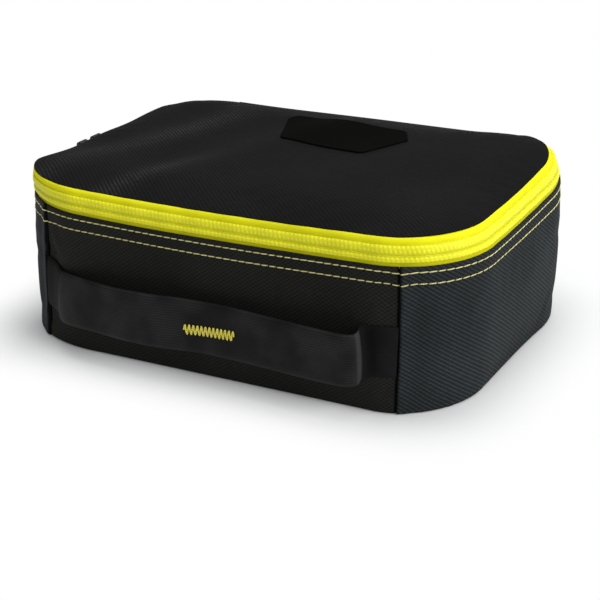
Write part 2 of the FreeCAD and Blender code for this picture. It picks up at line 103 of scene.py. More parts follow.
class BAG_PG_shape(bpy.types.PropertyGroup):
    corner_front_left: length("Front left corner", "Radius of this upright corner", 0.0527)
    corner_front_right: length("Front right corner", "Radius of this upright corner", 0.0405)
    corner_back_right: length("Back right corner", "Radius of this upright corner", 0.0545)
    corner_back_left: length("Back left corner", "Radius of this upright corner", 0.0483)
    base_lean: length("Base lean", "How far the right wall leans in at the floor", 0.0063)
    rim_lift: length("Rim lift", "How much higher the rim stands at the back right", 0.0055)
    rim_spread: length("Rim spread", "How far front and back lean out at the rim", 0.0012)
    lid_push: length("Lid push", "How far the lid pushes out over the front left corner", 0.0049)
    seam_lean: length("Seam lean", "How far the front left seam leans", 0.0072)
    lid_crown: length("Lid crown", "Rise of the lid above the zip band", 0.0034)
    lid_shoulder: length("Lid shoulder", "Width of the sloping edge of the lid", 0.016)
    lid_swell: length("Lid swell", "Most that the lid's cloth may move when puffed", 0.0016)
    wall_swell: length("Wall swell", "Most that the wall's cloth may move when puffed", 0.0018)
    zip_ripple: length("Zip ripple", "Pucker of the zip tape between its stitches", 0.00022)


class BAG_PG_sewing(bpy.types.PropertyGroup):
    tooth_pitch: length("Zip tooth pitch", "From one tooth of the coil to the next", 0.0021)
    stitch_pitch: length("Stitch pitch", "From one stitch to the next", 0.0040)
    stitch_run: length("Stitch length", "Part of each stitch that lies on the cloth", 0.0039)
    stitch_thread: length("Stitch thread", "Thickness of the topstitch thread", 0.00056)
    upper_row: length("Upper row", "Upper topstitch row below the wall's top", 0.0024)
    lower_row: length("Lower row", "Lower topstitch row below the wall's top", 0.0078)
    tack_thread: length("Tack thread", "Thickness of the handle's tack thread", 0.0009)


class BAG_PG_colours(bpy.types.PropertyGroup):
    cloth: colour("Outer cloth", "Black woven cloth", (0.0105, 0.0102, 0.0091))
    # Painted light and sheen: the front's cloth made lighter and bluer for the sides.
    side_cloth: colour("Side cloth", "The same cloth on the sides", (0.0120, 0.0145, 0.0158))
    # Painted shade: the front's cloth made several times darker for the lid.
    lid_cloth: colour("Lid cloth", "The same cloth on the lid", (0.0023, 0.0023, 0.0023))
    webbing: colour("Webbing", "Ribbed handle webbing", (0.0062, 0.0061, 0.0061))
    zip_cloth: colour("Zip", "Yellow zip tape and coil", (0.72, 0.69, 0.008))
    thread: colour("Topstitch", "Pale yellow thread", (0.82, 0.76, 0.30))
    tack: colour("Tack", "Bright yellow thread", (0.80, 0.70, 0.08))
    lining: colour("Lining", "Coated glass cloth", (0.30, 0.30, 0.29))
    badge: colour("Badge", "Bare moulded patch", (0.0022, 0.0022, 0.0018))
    metal: colour("Slider", "Dark satin metal", (0.10, 0.10, 0.105))
    floor: colour("Floor", "Pale floor", (0.80, 0.80, 0.80))


def shape():
    return bpy.context.scene.bag_shape


def sewing():
    return bpy.context.scene.bag_sewing


def colours():
    return bpy.context.scene.bag_colours


def corner_radii(inset=0.0):
    """Radii of the upright corners less inset, in millimetres: back left, front left, front
    right, back right."""
    s = shape()
    return [1000 * r - inset for r in (s.corner_back_left, s.corner_front_left,
                                       s.corner_front_right, s.corner_back_right)]


# ---------------------------------------------------------------- the bag's outline

def outline():
    """Arc length, place and outward direction all round the bag, from the middle of the back.

    Going by the left side, the heading stays level along each side and turns evenly by a
    quarter over each corner's arc. The place is the running sum of the heading's cosine and
    sine, and outward is the heading turned a quarter to the right.
    """
    radii = corner_radii()
    sides = [2 * HALF_Y, 2 * HALF_X, 2 * HALF_Y]
    runs = [HALF_X - radii[0]]
    for k in range(3):
        runs += [radii[k] * math.pi / 2, sides[k] - radii[k] - radii[k + 1]]
    runs += [radii[3] * math.pi / 2, HALF_X - radii[3]]
    knots = np.concatenate([[0.0], np.cumsum(runs)])
    turns = math.pi + math.pi / 2 * np.array([0, 0, 1, 1, 2, 2, 3, 3, 4, 4])
    arc = np.linspace(0.0, knots[-1], 15001)
    middle = (arc[1:] + arc[:-1]) / 2
    step = np.diff(arc)
    heading = np.interp(middle, knots, turns)
    x = np.concatenate([[0.0], np.cumsum(np.cos(heading) * step)])
    y = HALF_Y + np.concatenate([[0.0], np.cumsum(np.sin(heading) * step)])
    turn = np.interp(arc, knots, turns)
    return {"s": arc, "x": x, "y": y, "nx": np.sin(turn), "ny": -np.cos(turn), "all": knots[-1]}


def along(path, s, inset=0.0):
    """Place and outward direction at arc lengths s, moved inwards by inset."""
    turn = np.mod(s, path["all"])
    nx, ny = (np.interp(turn, path["s"], path[k]) for k in ("nx", "ny"))
    x = np.interp(turn, path["s"], path["x"]) - nx * inset
    y = np.interp(turn, path["s"], path["y"]) - ny * inset
    return x, y, nx, ny


def front_arc(path, x):
    """Arc length where the front of the outline passes x."""
    front = (path["y"] < -10) & (np.abs(path["x"]) < HALF_X - 0.5)
    return float(np.interp(x, path["x"][front], path["s"][front]))


def ease(x, low, high):
    """0 below low, 1 above high, and a smooth cubic step between."""
    t = np.clip((x - low) / (high - low), 0.0, 1.0)
    return t * t * (3 - 2 * t)


def hump(x, y, at_x, at_y, spread):
    """A round hill of height 1 that falls off as the bell curve."""
    return np.exp(-((x - at_x) ** 2 + (y - at_y) ** 2) / (2 * spread ** 2))


def slouch(points):
    """How the soft bag settles, for points in millimetres.

    Towards the floor the right wall leans in as a power of the depth below the rim, and the
    front left foot creeps out. The front and the back lean out evenly with height. The rim is
    lifted at its corners by hills times the height squared, the lid pushes out over the
    zip at the front left corner, and its edge rises over the zip's sliders. At the back right
    corner the loose cloth below the lid bulges out as a hill, and the lid draws in.
    """
    s = shape()
    p = np.array(points, float)
    x, y, z = p[..., 0], p[..., 1], p[..., 2]
    rise = np.clip(z / BAND_TOP, 0.0, 1.1)
    low = np.clip(1.0 - z / WALL_TOP, 0.0, 1.0)
    front, back = ease(-y, 12.0, 60.0), ease(y, 12.0, 60.0)
    lift = (hump(x, y, 118, 80, 45) * ease(x, 58.0, 118.0)
            + 0.73 * hump(x, y, -115, -75, 40) * front + 0.22 * hump(x, y, 115, -75, 40)
            + 0.55 * hump(x, y, -115, 75, 40) * back + 0.22 * hump(x, y, -12, 85, 45))
    foot = 4.2 * hump(x, y, -HALF_X + 10, -HALF_Y + 20, 21.0) * low ** 1.1
    heel = 3.4 * hump(x, y, HALF_X - 6, HALF_Y - 26, 22.0) * low ** 0.8
    lean = 1000 * s.base_lean * ease(x, 60.0, HALF_X) * low ** 1.4
    drawn = 0.8 * hump(x, y, 118, 70, 35) * rise
    dx = -lean - foot + 0.87 * heel - drawn - 0.7 * ease(-x, 60.0, HALF_X) * low
    dy = (back - front) * (0.4 + 1000 * s.rim_spread * rise) - 0.6 * foot + 0.5 * heel
    corner = 1000 * s.corner_front_left
    out_x = np.minimum(x + HALF_X - corner, 0.0)
    out_y = np.minimum(y + HALF_Y - corner, 0.0)
    push = (1000 * s.lid_push * hump(x, y, -115, -60, 35) * ease(-y, 12.0, 50.0)
            * np.clip((z - 71.0) / 11.0, 0.0, 1.0) / (np.hypot(out_x, out_y) + 8.0))
    loose = 0.65 * hump(x, y, 112, 74, 17) * np.clip((z - 60.0) / 10.0, 0, 1)
    loose = loose * (1 - 2.2 * np.clip((z - 78.0) / 4.0, 0, 1))
    dx, dy = dx + loose, dy + loose
    over = (1.6 * np.exp(-(y / 26.0) ** 2) * ease(-x, 98.0, 118.0)
            * np.clip((z - 77.5) / 4.5, 0, 1))
    dz = 1000 * s.rim_lift * lift * rise ** 2 + over
    return np.stack([x + dx + push * out_x, y + dy + push * out_y, z + dz], axis=-1)


# ---------------------------------------------------------------- meshes

def grid_faces(nu, nv, wrap_u=False, wrap_v=False):
    """Corner numbers of the quads of an nu by nv grid, and each corner's own row and column."""
    i, j = np.meshgrid(np.arange(nu if wrap_u else nu - 1),
                       np.arange(nv if wrap_v else nv - 1), indexing="ij")
    rows = np.stack([i, i + 1, i + 1, i], -1).reshape(-1, 4)
    cols = np.stack([j, j, j + 1, j + 1], -1).reshape(-1, 4)
    return (rows % nu) * nv + (cols % nv), rows, cols


def signed_volume(points, faces):
    """Six times the volume that the quads enclose, positive when they face outwards."""
    a, b, c, d = (points[faces[:, k]] for k in range(4))
    one = np.einsum("ij,ij->i", a, np.cross(b, c))
    two = np.einsum("ij,ij->i", a, np.cross(c, d))
    return float((one + two).sum())


def add_piece(name, points, faces, uv, material, flat_last=0):
    """Makes the mesh from millimetre points and quads, facing outwards, with its cloth map.

    The last flat_last faces, such as cut ends, are shaded flat and the others smooth.
    """
    points = np.asarray(points, float).reshape(-1, 3)
    if signed_volume(points, faces) < 0:
        faces, uv = faces[:, ::-1], uv[:, ::-1]
    mesh = bpy.data.meshes.new(name)
    mesh.vertices.add(len(points))
    mesh.vertices.foreach_set("co", (points * 0.001).astype(np.float32).ravel())
    mesh.loops.add(faces.size)
    mesh.loops.foreach_set("vertex_index", faces.astype(np.int32).ravel())
    mesh.polygons.add(len(faces))
    mesh.polygons.foreach_set("loop_start", np.arange(0, faces.size, 4, dtype=np.int32))
    mesh.polygons.foreach_set("use_smooth", np.arange(len(faces)) < len(faces) - flat_last)
    layer = mesh.uv_layers.new(name="cloth")
    mesh.update(calc_edges=True)
    if flat_last:
        edge = np.zeros(len(mesh.loops), np.int32)
        mesh.loops.foreach_get("edge_index", edge)
        sharp = np.zeros(len(mesh.edges), bool)
        sharp[edge[-4 * flat_last:]] = True
        mesh.attributes.new("sharp_edge", "BOOLEAN", "EDGE").data.foreach_set("value", sharp)
    layer.data.foreach_set("uv", (uv * 0.001).astype(np.float32).ravel())
    mesh.validate()
    mesh.materials.append(material)
    piece = bpy.data.objects.new(name, mesh)
    bpy.context.scene.collection.objects.link(piece)
    return piece


def mark(piece, name, values):
    """Gives the first points of a piece these values under a name, and the others nothing."""
    every = np.zeros(len(piece.data.vertices), np.float32)
    every[:values.size] = values.ravel()
    piece.data.attributes.new(name, "FLOAT", "POINT").data.foreach_set("value", every)


def carried(grid, u, v, wrap_u=False):
    """Faces and cloth map of a closed profile carried along a path.

    grid is rows by profile points. The profile's first half goes up its outer side and its
    second half comes down its inner side, so a strip across it closes each end.
    """
    nu, nv = grid.shape[:2]
    faces, rows, cols = grid_faces(nu, nv, wrap_u, True)
    u = np.append(u, u[0] + (u[-1] - u[0]) * nu / max(nu - 1, 1))
    v = np.append(v, v[-1] + 0.5)
    uv = np.stack([u[rows], v[cols]], -1)
    if not wrap_u:
        k = np.arange(nv // 2 - 1)
        strip = np.stack([k, k + 1, nv - 2 - k, nv - 1 - k], -1)
        strip_uv = np.stack([np.zeros(strip.shape), v[strip]], -1)
        strip_uv[:, 2:, 0] = 1.0
        strip_uv[:, 2:, 1] = strip_uv[:, 1::-1, 1]
        last = strip + (nu - 1) * nv
        faces = np.concatenate([faces, strip[:, ::-1], last])
        uv = np.concatenate([uv, strip_uv[:, ::-1] + [u[0], 0], strip_uv + [u[-2], 0]])
    return faces, uv


def run_lengths(profile):
    """Length along a profile up to each of its points."""
    return np.concatenate([[0.0], np.cumsum(np.linalg.norm(np.diff(profile, axis=0), axis=1))])


def settled(path, s, out, z):
    """Points of the slouched bag at arc lengths s, this far out and this high."""
    x, y, _, _ = along(path, s, -out)
    return slouch(np.stack([x, y, np.broadcast_to(z, x.shape)], -1))


def make_ring(path, name, count, profile, material, out=0.0, lift=0.0):
    """A profile of (outward, height) points carried right round the bag, with out and lift
    added to it."""
    s = np.linspace(0, path["all"], count, endpoint=False)
    grid = settled(path, s[:, None], profile[None, :, 0] + out, profile[None, :, 1] + lift)
    faces, uv = carried(grid, s, run_lengths(profile), wrap_u=True)
    return add_piece(name, grid, faces, uv, material)


def smooth_line(knots, count):
    """count points on the uniform cubic spline that passes through the knots.

    Between two knots it is the blend of their places and of slopes that are half the step
    from the knot before to the knot after.
    """
    k = np.asarray(knots, float)
    slopes = np.gradient(k, axis=0)
    t = np.linspace(0, len(k) - 1 - 1e-9, count)
    i = t.astype(int)
    f = (t - i)[:, None]
    return ((1 + 2 * f) * (1 - f) ** 2 * k[i] + f * (1 - f) ** 2 * slopes[i]
            + f * f * (3 - 2 * f) * k[i + 1] + f * f * (f - 1) * slopes[i + 1])


PUFF_FRAMES = 20  # length of each cloth simulation


def puffed(grid, held, outward, cap, pressure=4.0, slack=0.004, stiff=0.5):
    """How far each point of a cloth grid swells along outward, in millimetres.

    The grid hangs by its held points while air presses it from inside for some frames of
    Blender's cloth, with a little spare cloth so that it creases. No point moves more than
    cap.
    """
    nu, nv = grid.shape[:2]
    mesh = bpy.data.meshes.new("puff")
    faces = grid_faces(nu, nv)[0]
    points = grid.reshape(-1, 3)
    a, b, d = points[faces[:, 0]], points[faces[:, 1]], points[faces[:, 3]]
    turned = np.einsum("ij,ij->i", np.cross(b - a, d - a), outward.reshape(-1, 3)[faces[:, 0]])
    if turned.sum() < 0:
        faces = faces[:, ::-1]
    mesh.from_pydata((points * 0.001).tolist(), [], faces.tolist())
    cloth = bpy.data.objects.new("puff", mesh)
    bpy.context.scene.collection.objects.link(cloth)
    group = cloth.vertex_groups.new(name="held")
    group.add(np.flatnonzero(held.ravel()).tolist(), 1.0, "REPLACE")
    modifier = cloth.modifiers.new("puff", "CLOTH")
    for key, value in (("quality", 6), ("mass", 0.3), ("tension_stiffness", 15.0),
                       ("compression_stiffness", 15.0), ("shear_stiffness", 5.0),
                       ("bending_stiffness", stiff), ("vertex_group_mass", "held"),
                       ("use_pressure", True), ("uniform_pressure_force", pressure),
                       ("shrink_min", -slack)):
        setattr(modifier.settings, key, value)
    modifier.settings.effector_weights.gravity = 0.0
    modifier.collision_settings.use_collision = False
    modifier.point_cache.frame_start = 1
    modifier.point_cache.frame_end = PUFF_FRAMES
    scene = bpy.context.scene
    for step in range(1, PUFF_FRAMES + 1):
        scene.frame_set(step)
    shown = cloth.evaluated_get(bpy.context.evaluated_depsgraph_get())
    moved = np.zeros(len(points) * 3, np.float32)
    shown.data.vertices.foreach_get("co", moved)
    moved = moved.reshape(-1, 3) * 1000.0 - points
    bpy.data.objects.remove(cloth)
    scene.frame_set(1)
    swell = np.einsum("ij,ij->i", moved, outward.reshape(-1, 3)).reshape(nu, nv)
    return cap * np.tanh(swell / cap)


def between(values, u, v):
    """Values of a grid at broken rows u and columns v, straight between its own."""
    i = np.minimum(u.astype(int), values.shape[0] - 2)
    j = np.minimum(v.astype(int), values.shape[1] - 2)
    f, g = u - i, v - j
    return ((1 - f) * (1 - g) * values[i, j] + f * (1 - g) * values[i + 1, j]
            + (1 - f) * g * values[i, j + 1] + f * g * values[i + 1, j + 1])


# ---------------------------------------------------------------- materials

def put(tree, kind, settings=None, sockets=()):
    """Adds a node, sets it up, and links or fills its inputs."""
    made = tree.nodes.new(kind)
    for key, value in (settings or {}).items():
        setattr(made, key, value)
    pairs = sockets.items() if isinstance(sockets, dict) else enumerate(sockets)
    for key, value in pairs:
        if isinstance(value, bpy.types.NodeSocket):
            tree.links.new(value, made.inputs[key])
        elif value is not None:
            made.inputs[key].default_value = value
    return made


def calc(tree, operation, *values):
    """One step of arithmetic on values."""
    return put(tree, "ShaderNodeMath", {"operation": operation}, values).outputs[0]


def spread(tree, value, low, high, to_low=0.0, to_high=1.0):
    """Moves value from low..high to to_low..to_high, smoothly and no further."""
    made = put(tree, "ShaderNodeMapRange", {"interpolation_type": "SMOOTHSTEP"},
               (value, low, high, to_low, to_high))
    return made.outputs[0]


def blend_colours(tree, share, first, second):
    """A colour between two, by share."""
    made = put(tree, "ShaderNodeMix", {"data_type": "RGBA"})
    for index, value in ((0, share), (6, first), (7, second)):
        if isinstance(value, bpy.types.NodeSocket):
            tree.links.new(value, made.inputs[index])
        else:
            made.inputs[index].default_value = value
    return made.outputs[2]


def rgba(rgb, share=1.0):
    return (rgb[0] * share, rgb[1] * share, rgb[2] * share, 1.0)


def new_group(name, inputs, outputs):
    """An empty node group with these named inputs and outputs."""
    group = bpy.data.node_groups.new(name, "ShaderNodeTree")
    for label, kind, start in inputs:
        socket = group.interface.new_socket(label, in_out="INPUT", socket_type=kind)
        if start is not None:
            socket.default_value = start
    for label in outputs:
        group.interface.new_socket(label, in_out="OUTPUT", socket_type="NodeSocketFloat")
    return group, group.nodes.new("NodeGroupInput"), group.nodes.new("NodeGroupOutput")


def woven_group():
    """Woven threads over a flat map in metres.

    Crossing threads are the product of two sine waves a thread apart. Twill is one sine wave
    that runs at a slant, broken by the threads that cross it. Twill says how much of each,
    and a fine noise frays both. Height is the cloth's surface from 0 to 1, and Gap is 1 in
    the holes between threads.
    """
    if "woven threads" in bpy.data.node_groups:
        return bpy.data.node_groups["woven threads"]
    number = "NodeSocketFloat"
    tree, entry, leave = new_group(
        "woven threads",
        [("Vector", "NodeSocketVector", None), ("Pitch", number, 0.001),
         ("Slant", number, 1.0), ("Twill", number, 0.5), ("Fray", number, 0.3)],
        ["Height", "Gap"])
    place = put(tree, "ShaderNodeSeparateXYZ", None, (entry.outputs["Vector"],))
    pitch = entry.outputs["Pitch"]
    u = calc(tree, "DIVIDE", place.outputs[0], pitch)
    v = calc(tree, "DIVIDE", place.outputs[1], pitch)
    cross = calc(tree, "MULTIPLY", calc(tree, "SINE", calc(tree, "MULTIPLY", u, math.pi)),
                 calc(tree, "SINE", calc(tree, "MULTIPLY", v, math.pi)))
    lean = calc(tree, "ADD", u, calc(tree, "MULTIPLY", v, entry.outputs["Slant"]))
    ridge = calc(tree, "SINE", calc(tree, "MULTIPLY", lean, math.pi))
    broken = calc(tree, "SINE", calc(tree, "MULTIPLY", v, 2.0 * math.pi))
    ridge = calc(tree, "MULTIPLY", ridge, calc(tree, "MULTIPLY_ADD", broken, 0.1, 0.9))
    both = calc(tree, "ADD", calc(tree, "MULTIPLY", ridge, entry.outputs["Twill"]),
                calc(tree, "MULTIPLY", cross, calc(tree, "SUBTRACT", 1.0, entry.outputs["Twill"])))
    fine = put(tree, "ShaderNodeTexNoise", None, {
        "Vector": entry.outputs["Vector"], "Scale": calc(tree, "DIVIDE", 0.55, pitch),
        "Detail": 3.0, "Roughness": 0.6})
    fray = calc(tree, "SUBTRACT", fine.outputs[0], 0.5)
    height = calc(tree, "ADD", calc(tree, "MULTIPLY_ADD", both, 0.5, 0.5),
                  calc(tree, "MULTIPLY", fray, entry.outputs["Fray"]))
    tree.links.new(height, leave.inputs["Height"])
    tree.links.new(spread(tree, height, 0.08, 0.45, 1.0, 0.0), leave.inputs["Gap"])
    return tree


def marks_and_sheen_group():
    """Slow changes over a surface: marks of handling, which on the webbing and the lid also stand
    in for painted sheen patches.

    Cloud is a broad noise a few centimetres across, and Dust is a fine one that only shows
    where a middling noise is high.
    """
    if "handling marks and painted sheen" in bpy.data.node_groups:
        return bpy.data.node_groups["handling marks and painted sheen"]
    tree, entry, leave = new_group(
        "handling marks and painted sheen",
        [("Vector", "NodeSocketVector", None), ("Size", "NodeSocketFloat", 0.05)],
        ["Cloud", "Dust"])
    scale = calc(tree, "DIVIDE", 1.0, entry.outputs["Size"])
    cloud = put(tree, "ShaderNodeTexNoise", None, {
        "Vector": entry.outputs["Vector"], "Scale": scale, "Detail": 2.0, "Roughness": 0.5})
    fine = put(tree, "ShaderNodeTexNoise", None, {
        "Vector": entry.outputs["Vector"], "Scale": calc(tree, "MULTIPLY", scale, 26.0),
        "Detail": 4.0, "Roughness": 0.65})
    dust = calc(tree, "MULTIPLY", spread(tree, fine.outputs[0], 0.58, 0.78),
                spread(tree, cloud.outputs[0], 0.45, 0.7))
    tree.links.new(cloud.outputs[0], leave.inputs["Cloud"])
    tree.links.new(dust, leave.inputs["Dust"])
    return tree


def start_material(name):
    """A new material with its surface shader, ready for nodes."""
    material = bpy.data.materials.new(name)
    material.use_nodes = True
    tree = material.node_tree
    shader = next(n for n in tree.nodes if n.type == "BSDF_PRINCIPLED")
    return material, tree, shader


def marks_and_sheen(tree, size):
    """Object coordinates, and the marks of handling and painted sheen patches on them at this size.
    """
    where = put(tree, "ShaderNodeTexCoord").outputs["Object"]
    return where, put(tree, "ShaderNodeGroup", {"node_tree": marks_and_sheen_group()},
                      {"Vector": where, "Size": size})


def point_mark(tree, name):
    """A value that the piece carries at its points."""
    return put(tree, "ShaderNodeAttribute", {"attribute_name": name}).outputs["Fac"]


def surface(tree, shader, tone, rough, height, strength, distance):
    """Feeds the shader its colour, its roughness and a bump."""
    tree.links.new(tone, shader.inputs["Base Color"])
    tree.links.new(rough, shader.inputs["Roughness"])
    raised = put(tree, "ShaderNodeBump", None,
                 {"Strength": strength, "Distance": distance, "Height": height})
    tree.links.new(raised.outputs[0], shader.inputs["Normal"])


def cloth_material(name, rgb, pitch, twill=0.5, slant=1.0, fray=0.35, relief=0.00025,
                   gap=0.45, light=1.5, rough=0.78, sheen=0.0, source="cloth", turn=0.0,
                   tall=1.0, cloudy=0.1, bump=0.5, dust=0.25, gloss=0.12, plain=1.0,
                   highlight_gain=2.0, even=0.15, size=0.05):
    """A woven cloth: threads light, gaps dark, a little dust, and the weave in relief.

    rgb is the cloth's own colour, pitch one thread's width in metres, gap how dark the holes
    are, light how much brighter the tops of the threads, cloudy how far the whole wanders
    (marks of handling, and where it is large, painted sheen patches), and tall how much closer
    the threads lie across the cloth than along it. Source is the piece's own map, or "object"
    for a flat piece seen from above. Two marks on the piece itself change it: the painted
    shade mark is darker, and the painted highlight mark is lighter by the highlight gain, by
    the share even between the threads too, and shows all its bright threads, of which
    elsewhere only the share plain shows.
    """
    if name in bpy.data.materials:
        return bpy.data.materials[name]
    material, tree, shader = start_material(name)
    where, marks = marks_and_sheen(tree, size)
    place = where
    if source != "object":
        place = put(tree, "ShaderNodeUVMap", {"uv_map": source}).outputs[0]
    turned = put(tree, "ShaderNodeMapping", None, {
        "Vector": place, "Rotation": (0, 0, turn), "Scale": (1.0, tall, 1.0)})
    weave = put(tree, "ShaderNodeGroup", {"node_tree": woven_group()}, {
        "Vector": turned.outputs[0], "Pitch": pitch, "Slant": slant, "Twill": twill,
        "Fray": fray})
    height, holes = weave.outputs["Height"], weave.outputs["Gap"]
    # Broad cloud: marks of handling, and where cloudy is large, painted sheen patches.
    cloud = spread(tree, marks.outputs["Cloud"], 0.35, 0.65)
    tone = blend_colours(tree, cloud, rgba(rgb, 1 - cloudy), rgba(rgb, 1 + cloudy))
    bright = blend_colours(tree, cloud, rgba(rgb, light * (1 - cloudy)),
                           rgba(rgb, light * (1 + cloudy)))
    # Painted highlight: a mark on the piece that lightens it and shows its bright threads.
    painted_highlight = point_mark(tree, "painted_highlight")
    tops = spread(tree, height, 0.45, 1.05)
    shown = calc(tree, "MULTIPLY", tops, calc(tree, "MULTIPLY_ADD", painted_highlight, 1 - plain, plain))
    tone = blend_colours(tree, shown, tone, bright)
    tone = blend_colours(tree, calc(tree, "MULTIPLY", holes, gap), tone, rgba(rgb, 0.25))
    grey = max(rgb) * 0.6 + 0.05
    tone = blend_colours(tree, calc(tree, "MULTIPLY", marks.outputs["Dust"], dust), tone,
                         (grey, grey, grey * 0.97, 1.0))
    # Painted shade: a mark on the piece that darkens it towards a fifth of its colour.
    painted_shade = point_mark(tree, "painted_shade")
    tone = blend_colours(tree, painted_shade, tone, rgba(rgb, 0.2))
    threads = calc(tree, "MULTIPLY", painted_highlight, calc(tree, "MULTIPLY_ADD", tops, 1 - even, even))
    tone = blend_colours(tree, threads, tone, rgba(rgb, highlight_gain))
    matt = calc(tree, "MULTIPLY_ADD", height, -0.12, rough + 0.06)
    matt = calc(tree, "MULTIPLY_ADD", painted_shade, 0.2, matt)
    surface(tree, shader, tone, matt, height, bump, relief)
    shader.inputs["Specular IOR Level"].default_value = gloss
    shader.inputs["Sheen Weight"].default_value = sheen
    shader.inputs["Sheen Roughness"].default_value = 0.5
    return material


def thread_material(name, rgb, ply=0.0009):
    """Twisted sewing thread: plies run round it at a slant, darker between."""
    if name in bpy.data.materials:
        return bpy.data.materials[name]
    material, tree, shader = start_material(name)
    place = put(tree, "ShaderNodeSeparateXYZ", None,
                (put(tree, "ShaderNodeUVMap", {"uv_map": "cloth"}).outputs[0],))
    turn = calc(tree, "MULTIPLY_ADD", place.outputs[0], 2 * math.pi / ply,
                calc(tree, "MULTIPLY", place.outputs[1], 2 * math.pi / 0.0011))
    ply_height = calc(tree, "MULTIPLY_ADD", calc(tree, "SINE", turn), 0.5, 0.5)
    marks = marks_and_sheen(tree, 0.02)[1]
    tone = blend_colours(tree, ply_height, rgba(rgb, 0.55), rgba(rgb, 1.1))
    tone = blend_colours(tree, calc(tree, "MULTIPLY", marks.outputs["Cloud"], 0.3), tone,
                         rgba(rgb, 0.8))
    surface(tree, shader, tone, calc(tree, "MULTIPLY_ADD", ply_height, -0.15, 0.6),
            ply_height, 0.6, 0.0002)
    return material


def coil_material():
    """Moulded zip coil: yellow and glossier on the tops of its turns, with painted light: lighter
    on the tops and painted shade lower down.
    """
    if "zip_coil_plastic" in bpy.data.materials:
        return bpy.data.materials["zip_coil_plastic"]
    rgb = colours().zip_cloth
    material, tree, shader = start_material("zip_coil_plastic")
    # Painted light and shade of the coil, carried by the piece.
    lift = point_mark(tree, "coil_painted_light")
    where, marks = marks_and_sheen(tree, 0.02)
    tone = blend_colours(tree, spread(tree, lift, 0.0, 1.0),
                         (rgb[0] * 0.8, rgb[1] * 0.82, rgb[2] * 0.5, 1.0),
                         (min(1, rgb[0] * 1.14), min(1, rgb[1] * 1.14), rgb[2] + 0.02, 1.0))
    tone = blend_colours(tree, calc(tree, "MULTIPLY", marks.outputs["Cloud"], 0.25), tone,
                         rgba(rgb, 0.85))
    shader.inputs["Specular IOR Level"].default_value = 0.22
    fine = put(tree, "ShaderNodeTexNoise", None,
               {"Vector": where, "Scale": 2500.0, "Detail": 2.0})
    surface(tree, shader, tone, calc(tree, "MULTIPLY_ADD", lift, -0.15, 0.55),
            fine.outputs[0], 0.3, 0.0001)
    return material


def badge_material():
    """Bare moulded rubber: near black, finely grained, with slight wear on its surface."""
    if "badge_rubber" in bpy.data.materials:
        return bpy.data.materials["badge_rubber"]
    rgb = colours().badge
    material, tree, shader = start_material("badge_rubber")
    where, marks = marks_and_sheen(tree, 0.03)
    grain = put(tree, "ShaderNodeTexVoronoi", None, {"Vector": where, "Scale": 1400.0})
    tone = blend_colours(tree, marks.outputs["Cloud"], rgba(rgb, 0.8), rgba(rgb, 1.3))
    tone = blend_colours(tree, calc(tree, "MULTIPLY", marks.outputs["Dust"], 0.3), tone,
                         (0.03, 0.03, 0.03, 1.0))
    shader.inputs["Specular IOR Level"].default_value = 0.02
    surface(tree, shader, tone, calc(tree, "MULTIPLY_ADD", marks.outputs["Cloud"], 0.1, 0.85),
            grain.outputs[0], 0.25, 0.00008)
    return material


def metal_material():
    """The plain metal that the CAD's own slot brings. Where that is missing, dark plated
    metal: brushed, with small scratches and a little tarnish."""
    if "slider_metal" in bpy.data.materials:
        return bpy.data.materials["slider_metal"]
    rgb = colours().metal
    material, tree, shader = start_material("slider_metal_finish")
    where, marks = marks_and_sheen(tree, 0.012)
    long = put(tree, "ShaderNodeMapping", None, {"Vector": where, "Scale": (1, 1, 0.08)})
    brushed = put(tree, "ShaderNodeTexNoise", None,
                  {"Vector": long.outputs[0], "Scale": 1800.0, "Detail": 3.0})
    tone = blend_colours(tree, marks.outputs["Cloud"], rgba(rgb, 0.8), rgba(rgb, 1.4))
    surface(tree, shader, tone, calc(tree, "MULTIPLY_ADD", brushed.outputs[0], 0.25, 0.25),
            brushed.outputs[0], 0.2, 0.00005)
    shader.inputs["Metallic"].default_value = 1.0
    return material


def front_cloth():
    return cloth_material("front_cloth", colours().cloth, 0.00143, twill=0.25, slant=1.0,
                          tall=1.5, fray=0.45, relief=0.0003, light=1.8, gap=0.8)


def side_cloth():
    return cloth_material("side_cloth", colours().side_cloth, 0.0015, twill=0.75, slant=1.0,
                          tall=1.48, fray=0.45, relief=0.0002, light=2.3, gap=0.5,
                          cloudy=0.18)


def lid_cloth():
    # The cloud's swing on the lid is painted sheen as well as marks of handling, and its painted
    # highlight mark lightens its ribs twelvefold.
    return cloth_material("lid_cloth", colours().lid_cloth, 0.00135, twill=0.7, slant=1.0,
                          tall=1.16, fray=0.8, relief=0.00022, light=2.6, gap=0.4, cloudy=0.3,
                          gloss=0.1, source="object", plain=0.35, highlight_gain=12.0)


def webbing_cloth():
    # The wide swing of its colour with the cloud is painted sheen as well as marks of handling.
    return cloth_material("handle_webbing", colours().webbing, 0.0006, twill=0.6, slant=0.0,
                          turn=math.pi / 2, fray=0.6, relief=0.00012, light=2.0, gap=0.5,
                          rough=0.66, cloudy=0.7, gloss=0.16, highlight_gain=5.5, even=0.7,
                          size=0.022)


def tape_cloth(name="zip_tape_cloth", share=1.0):
    rgb = [share * c for c in colours().zip_cloth]
    return cloth_material(name, rgb, 0.0006, twill=0.4, slant=1.0, relief=0.00012,
                          light=1.10, gap=0.15, rough=0.8, bump=0.35, dust=0.0,
                          cloudy=0.04, gloss=0.1)


def lining_cloth():
    return cloth_material("lining_cloth", colours().lining, 0.0008, twill=0.15, slant=1.0,
                          relief=0.0002, light=1.3, gap=0.4, rough=0.5, gloss=0.5)


def binding_cloth():
    return cloth_material("binding_tape", colours().webbing, 0.0007, twill=0.7, slant=-3.0,
                          relief=0.0002, light=1.6, gap=0.4)


# ---------------------------------------------------------------- shapes of the pieces

